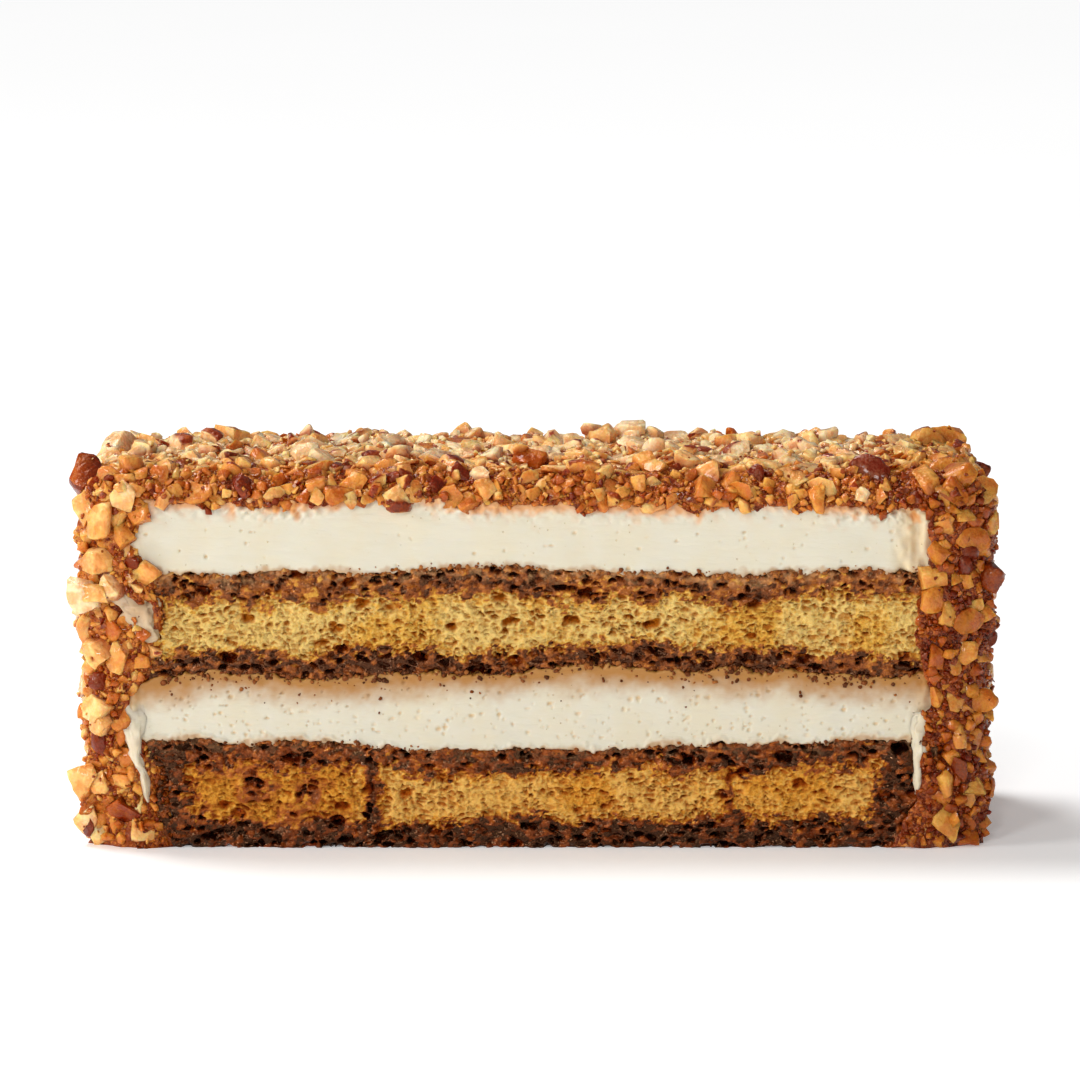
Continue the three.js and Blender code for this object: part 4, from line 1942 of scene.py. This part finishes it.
@dataclass(frozen=True)
class LargePieces:
    """The pieces that stand out, each where the photograph has it."""

    landmarks: tuple[Landmark, ...]
    material: bpy.types.Material
    cutter: Cutter
    name: str = "almond_large_pieces"
    middle: tuple[float, float] = (PHOTO_PIXELS * 0.5, PHOTO_PIXELS * 0.6)
    nudge: float = 0.01
    tilt: float = 0.35
    seed: int = 3

    def build(self, tree: PieceTree, ground: Ground, studio: "Studio") -> bpy.types.Object:
        """Sets the pieces.

        Args:
            tree: what sets pieces on points.
            ground: what they land on, to which they are added.
            studio: whose camera sees them.

        Returns:
            The finished piece.
        """
        places, shapes = Places(), []
        middle = np.array(self.middle)
        for mark in self.landmarks:
            seen = np.array([mark.x, mark.y])
            met = ground.meet(*studio.sight(*seen))
            while met is None:
                seen = seen + (middle - seen) * self.nudge
                met = ground.meet(*studio.sight(*seen))
            spot = inside_room(met[0] + met[1] * mark.size * mark.lift, mark.size)
            places.add(spot, met[1], mark.size, mark.tone, len(shapes))
            shapes.append(self.cutter.chop(mark.form, len(shapes), mark.skinned))
        piece = tree.bake(self.name, places, shapes, self.material, self.tilt, self.seed)
        ground.add(piece)
        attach(piece, ROOT)
        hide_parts("almond_coat")
        return piece


@dataclass(frozen=True)
class DraggedCrumbs:
    """Crumbs of soaked sponge along the lines where sponge and cream meet."""

    material: bpy.types.Material
    cutter: Cutter
    name: str = "sponge_crumbs"
    count: int = 1800
    smallest: float = 0.25
    largest: float = 1.1
    kinds: int = 8
    seed: int = 12
    left: float = -47.5
    right: float = 49.5
    far: float = 30.0
    sunk: float = 1.2
    tilt: float = 1.2

    def build(self, tree: PieceTree, cut: Ground) -> bpy.types.Object:
        """Strews the crumbs.

        Args:
            tree: what sets pieces on points.
            cut: the cut faces that they stick to.

        Returns:
            The finished piece.
        """
        random = np.random.default_rng(self.seed)
        places = Places()
        lines = (
            (SHAPE.lower_sponge_top, 1.0, 0.16),
            (SHAPE.lower_cream_top, -1.0, 0.3),
            (SHAPE.lower_cream_top, -1.0, 0.9),
            (SHAPE.upper_sponge_top, 1.0, 0.2),
        )
        for _ in range(self.count):
            level, way, reach = lines[int(random.integers(0, len(lines)))]
            x = random.uniform(self.left, self.right)
            side = float(random.choice((-1.0, 1.0)))
            y = np.array([side * SHAPE.depth / 2.0])
            edge = float(SHAPE.height(level, np.array([x]), y)[0])
            z = edge + way * (random.exponential(reach) - 0.25)
            start = np.array([x, side * self.far, z])
            met = cut.meet(start, np.array([0.0, -side, 0.0]))
            if met is None or abs(met[0][1]) < SHAPE.depth / 2.0 - self.sunk:
                continue
            size = self.smallest * (self.largest / self.smallest) ** (random.random() ** 2)
            tone = random.uniform(0.15, 0.9) - 0.3 * (level is SHAPE.upper_sponge_top)
            pick = int(random.integers(0, self.kinds))
            places.add(met[0], np.array([0.0, side, 0.0]), size, tone, pick)
        shapes = [self.cutter.chop(Form.CRUMB, number) for number in range(self.kinds)]
        piece = tree.bake(self.name, places, shapes, self.material, self.tilt, self.seed)
        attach(piece, ROOT)
        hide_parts("sponge_upper", "sponge_lower")
        return piece


@dataclass(frozen=True)
class Studio:
    """The camera of the photograph, a pale floor and soft light."""

    face_distance: float = 600.0
    eye_height: float = 144.0
    pitch: float = 9.852
    pixels_per_mm: float = 8.06
    middle_pixel: float = 535.5
    floor_half: float = 9.0
    target: Triple = (0.0, 0.0, 0.02)
    sky_power: float = 0.2
    sun_power: float = 2.1
    sun_spread: float = 26.0
    sun_way: Triple = (-0.42, 0.3, 0.86)

    def eye(self) -> Array:
        """Where the camera is, in millimetres of the part's own frame."""
        across = (PHOTO_PIXELS / 2.0 - self.middle_pixel) / self.pixels_per_mm
        return np.array([across, -SHAPE.depth / 2.0 - self.face_distance, self.eye_height])

    def camera(self) -> None:
        """Sets up the camera."""
        data = bpy.data.cameras.new("camera")
        data.sensor_width = 36.0
        data.lens = self.pixels_per_mm * self.face_distance / PHOTO_PIXELS * data.sensor_width
        data.clip_start, data.clip_end = 0.01, 100.0
        camera = place_object("camera", data)
        camera.location = Vector(self.eye() * MM)
        camera.rotation_euler = (math.radians(90.0 - self.pitch), 0.0, 0.0)
        bpy.context.scene.camera = camera

    def sight(self, x: float, y: float) -> tuple[Array, Array]:
        """The line of sight through a point of the photograph.

        Args:
            x: the point's column.
            y: its row.

        Returns:
            Where the line starts, in millimetres, and where it runs to.
        """
        focal = self.pixels_per_mm * self.face_distance
        right, down = (x - PHOTO_PIXELS / 2.0) / focal, (y - PHOTO_PIXELS / 2.0) / focal
        tip = math.radians(self.pitch)
        forward = np.array([0.0, math.cos(tip), -math.sin(tip)])
        upward = np.array([0.0, math.sin(tip), math.cos(tip)])
        way = forward + right * np.array([1.0, 0.0, 0.0]) - down * upward
        return self.eye() - OFFSET, way / np.linalg.norm(way)

    def floor(self) -> None:
        """Lays the floor."""
        mesh = bpy.data.meshes.new("floor")
        reach = self.floor_half
        corners = [(x * reach, y * reach, 0.0) for x, y in ((-1, -1), (1, -1), (1, 1), (-1, 1))]
        mesh.from_pydata(corners, [], [(0, 1, 2, 3)])
        shader = Shader("pale_floor")
        shade = shader.noise(400.0, 2.0)
        colour = shader.mix(shade, linear((250, 250, 250)), linear((253, 253, 253)))
        mesh.materials.append(shader.finish(colour, 0.9, shine=(0.1, WHITE), glow=0.2))
        floor = place_object("floor", mesh)

    def lamp(
        self, name: str, place: Triple, size: float, power: float, tint: Colour
    ) -> None:
        """Hangs a soft lamp that looks at the slice.

        Args:
            name: the lamp's name.
            place: where it hangs, in metres.
            size: the width of its square face, in metres.
            power: its power, in watts.
            tint: its colour.
        """
        data = bpy.data.lights.new(name, "AREA")
        data.size = size
        data.energy = power
        data.color = tint
        lamp = place_object(name, data)
        lamp.location = place
        aim = Vector(self.target) - Vector(place)
        lamp.rotation_euler = aim.to_track_quat("-Z", "Y").to_euler()

    def light(self) -> None:
        """Sets up the light and how the picture is shown."""
        world = bpy.data.worlds.new("soft_studio")
        world.use_nodes = True
        background = world.node_tree.nodes["Background"]
        background.inputs["Color"].default_value = (*WHITE, 1.0)
        background.inputs["Strength"].default_value = self.sky_power
        bpy.context.scene.world = world
        sun = bpy.data.lights.new("overhead", "SUN")
        sun.energy, sun.angle = self.sun_power, math.radians(self.sun_spread)
        high = place_object("overhead", sun)
        high.rotation_euler = Vector(self.sun_way).to_track_quat("Z", "Y").to_euler()
        self.lamp("front", (-0.7, -1.2, 0.5), 0.28, 5.8, (1.0, 0.99, 0.97))
        self.lamp("side", (-1.0, -0.35, 0.45), 0.28, 4.6, (1.0, 0.98, 0.95))
        self.lamp("spark", (-0.12, -1.0, 0.72), 0.13, 2.0, WHITE)
        bpy.context.scene.view_settings.view_transform = "Standard"

    def build(self) -> None:
        """Sets up the whole studio."""
        self.camera()
        self.floor()
        self.light()


LANDMARKS = tuple(
    Landmark(*row)
    for row in (
        (96, 441, 7.0, Form.CHUNK, 0.0),
        (76, 474, 5.6, Form.CHUNK, 0.9, True, 0.3),
        (104, 520, 5.6, Form.CHUNK, 0.35),
        (122, 497, 4.6, Form.SLICE, 0.15),
        (88, 594, 6.4, Form.CHUNK, -0.2),
        (113, 590, 4.6, Form.CHUNK, 0.1),
        (95, 560, 5.0, Form.CHUNK, 0.3),
        (102, 655, 5.2, Form.CHUNK, 0.25),
        (100, 712, 5.4, Form.CHUNK, 0.2),
        (88, 780, 5.2, Form.CHUNK, 0.3),
        (82, 820, 5.2, Form.CHUNK, 0.2),
        (124, 808, 4.4, Form.CHUNK, 0.95, True),
        (228, 439, 5.4, Form.SLICE, 0.2),
        (600, 441, 5.0, Form.SLICE, 0.2),
        (480, 476, 2.8, Form.SLIVER, -0.2),
        (530, 463, 4.6, Form.CHUNK, 0.75),
        (786, 461, 4.6, Form.CHUNK, -0.1),
        (862, 497, 2.6, Form.CHUNK, 0.0),
        (944, 441, 5.6, Form.CHUNK, 0.4, True),
        (926, 481, 4.2, Form.CHUNK, 0.4),
        (950, 492, 4.8, Form.CHUNK, 0.6),
        (984, 470, 4.6, Form.SLIVER, 1.0, True),
        (987, 574, 5.4, Form.SLIVER, 0.9, True),
        (945, 530, 5.4, Form.SLIVER, 0.4),
        (972, 540, 4.4, Form.CHUNK, 0.5),
        (968, 620, 4.6, Form.CHUNK, 0.6),
        (978, 700, 4.6, Form.CHUNK, 0.5),
        (960, 735, 4.0, Form.CHUNK, 0.3),
        (958, 770, 4.6, Form.CHUNK, 0.9, True),
        (940, 800, 5.2, Form.CHUNK, 0.6),
        (936, 830, 7.2, Form.CHUNK, 0.1),
    )
)


def main() -> None:
    """Builds the slice and the studio, and notes each piece's faces and pieces in the log."""
    logging.basicConfig(level=logging.INFO, format="%(relativeCreated)d %(message)s")
    studio = Studio()
    studio.build()
    upper_look = SpongeFinish(
        "upper_sponge", (224, 192, 114), (218, 166, 66), (170, 98, 36), (124, 62, 26), (46, 12, 2)
    )
    lower_look = SpongeFinish(
        "lower_sponge", (226, 178, 92), (212, 146, 46), (156, 78, 22), (112, 46, 12), (34, 8, 1)
    )
    sponges = [
        Sponge(
            "soaked_sponge_lower", "sponge_lower", SHAPE.base, SHAPE.lower_sponge_top, lower_look,
            seed=11, top_band=2.9, bottom_band=3.3, end_bands=(4.9, 7.2), top_soak=0.78,
            bottom_soak=0.95, film=0.25,
            streaks=((-20.3, 0.8, 0.62), (24.0, 0.3, 0.3), (-33.0, 10.0, 0.38)),
        ),
        Sponge(
            "soaked_sponge_upper", "sponge_upper", SHAPE.lower_cream_top, SHAPE.upper_sponge_top,
            upper_look, seed=23, top_band=3.2, bottom_band=2.5, end_bands=(1.4, 0.6), top_soak=0.68,
            bottom_soak=0.88, film=1.0,
        ),
    ]
    cut = Ground()
    for sponge in sponges:
        piece = sponge.build()
        cut.add(piece)
        report(piece)
    ground = Ground()
    creams = [
        Cream(
            "mascarpone_cream_lower", "cream_lower", SHAPE.lower_sponge_top, SHAPE.lower_cream_top,
            SHAPE.base, seed=41, bubbles=330, coffee=0.95, caramel=0.0, torn=(46.5, 49.0), lip=0.22,
            mask_stain=0.5, mask_depth=0.9,
            smears=(
                Smear(-51.6, 18.6, 5.8, 3.6, 0.8, 2.4, 1.5, 0.06),
                Smear(48.8, 17.6, 7.2, 3.0, 0.9, -0.3, 1.1, 0.02),
            ),
        ),
        Cream(
            "mascarpone_cream_upper", "cream_upper", SHAPE.upper_sponge_top, SHAPE.upper_cream_top,
            SHAPE.lower_cream_top, seed=57, bubbles=70, coffee=0.0, caramel=0.9, torn=(44.0, 47.0),
            mask_stain=0.9, mask_depth=1.5, cover=0.2,
            smears=(
                Smear(-50.4, 33.0, 26.5, 5.4, 3.4, 0.9, 1.2, 0.5),
            ),
        ),
    ]
    cream_look = CreamFinish("mascarpone_cream")
    for cream in creams:
        piece = cream.build(cream_look)
        cut.add(piece)
        ground.add(piece)
        report(piece)
    tree = PieceTree()
    crumbs = DraggedCrumbs(CrumbFinish("soaked_crumb").material(), Cutter(8, 1, 2, 0.0, 0.0))
    piece = crumbs.build(tree, cut)
    report(piece)
    crust = CoatCore().build(CrustFinish("almond_crust"))
    ground.add(crust)
    ground.kept_clear, ground.bare = len(creams), len(creams) + 1
    report(crust)
    glazed = AlmondFinish("glazed_almond", 0.95).material()
    large = LargePieces(LANDMARKS, glazed, Cutter(2, 3, 8, 0.015, 0.0, 0.045, 0.12))
    piece = large.build(tree, ground, studio)
    report(piece)
    coarse = (Form.CHUNK, Form.CHUNK, Form.SLIVER, Form.SLICE)
    scatters = [
        Scatter(
            "almond_blocks", coarse, 860, 2.0, 6.0, 0.25, -0.1, 0.45, 0.0, (0.05, 0.6), glazed,
            Cutter(3, 2, 8, 0.0, 0.2, 0.04, 0.24), 24, 0.3, 5, on_pieces=0.06, rim_from=0.1,
        ),
        Scatter(
            "almond_chunks", coarse, 900, 2.2, 5.8, 0.23, -0.02, 0.16, 1.0, (0.08, 0.56), glazed,
            Cutter(7, 2, 8, 0.0, 0.25, 0.04, 0.24), 20, 0.35, 15, on_pieces=0.12,
        ),
        Scatter(
            "almond_bits", (Form.CHUNK, Form.SLIVER), 3400, 0.9, 2.6, 0.24, 0.04, 0.46, 0.52,
            (0.1, 0.62), AlmondFinish("chopped_almond", 0.85, 0.28).material(),
            Cutter(4, 1, 6, 0.0, 0.15), 20, 0.8, 6, on_pieces=0.02, rim_from=-0.3,
        ),
        Scatter(
            "almond_skins", (Form.FLAKE,), 240, 1.2, 3.0, 0.25, 0.02, 0.3, 0.5, (0.2, 0.9),
            AlmondFinish("almond_skin", 0.9, 0.2).material(), Cutter(5, 1, 0, 0.0, 1.0), 8, 0.4, 7,
            on_pieces=0.05,
        ),
        Scatter(
            "caramel_drops", (Form.GLOB,), 200, 0.6, 1.9, 0.25, 0.0, 0.5, 0.4, (0.0, 1.0),
            CaramelFinish("amber_caramel").material(), Cutter(9, 2, 0, 0.0, 0.0, 0.05, 0.5), 8, 0.4,
            9, on_pieces=0.05,
        ),
        Scatter(
            "almond_crumbs", (Form.CRUMB,), 4200, 0.35, 1.1, 0.0, 0.05, 0.56, 0.5, (0.15, 0.9),
            AlmondFinish("almond_crumb", 0.6, 0.3).material(), Cutter(6, 1, 3, 0.0, 0.05), 10, 1.2,
            8, on_pieces=0.02, rim_from=-0.35, tries=5,
        ),
    ]
    for scatter in scatters:
        piece = scatter.build(tree, ground)
        report(piece)


if __name__ == "__main__":
    main()
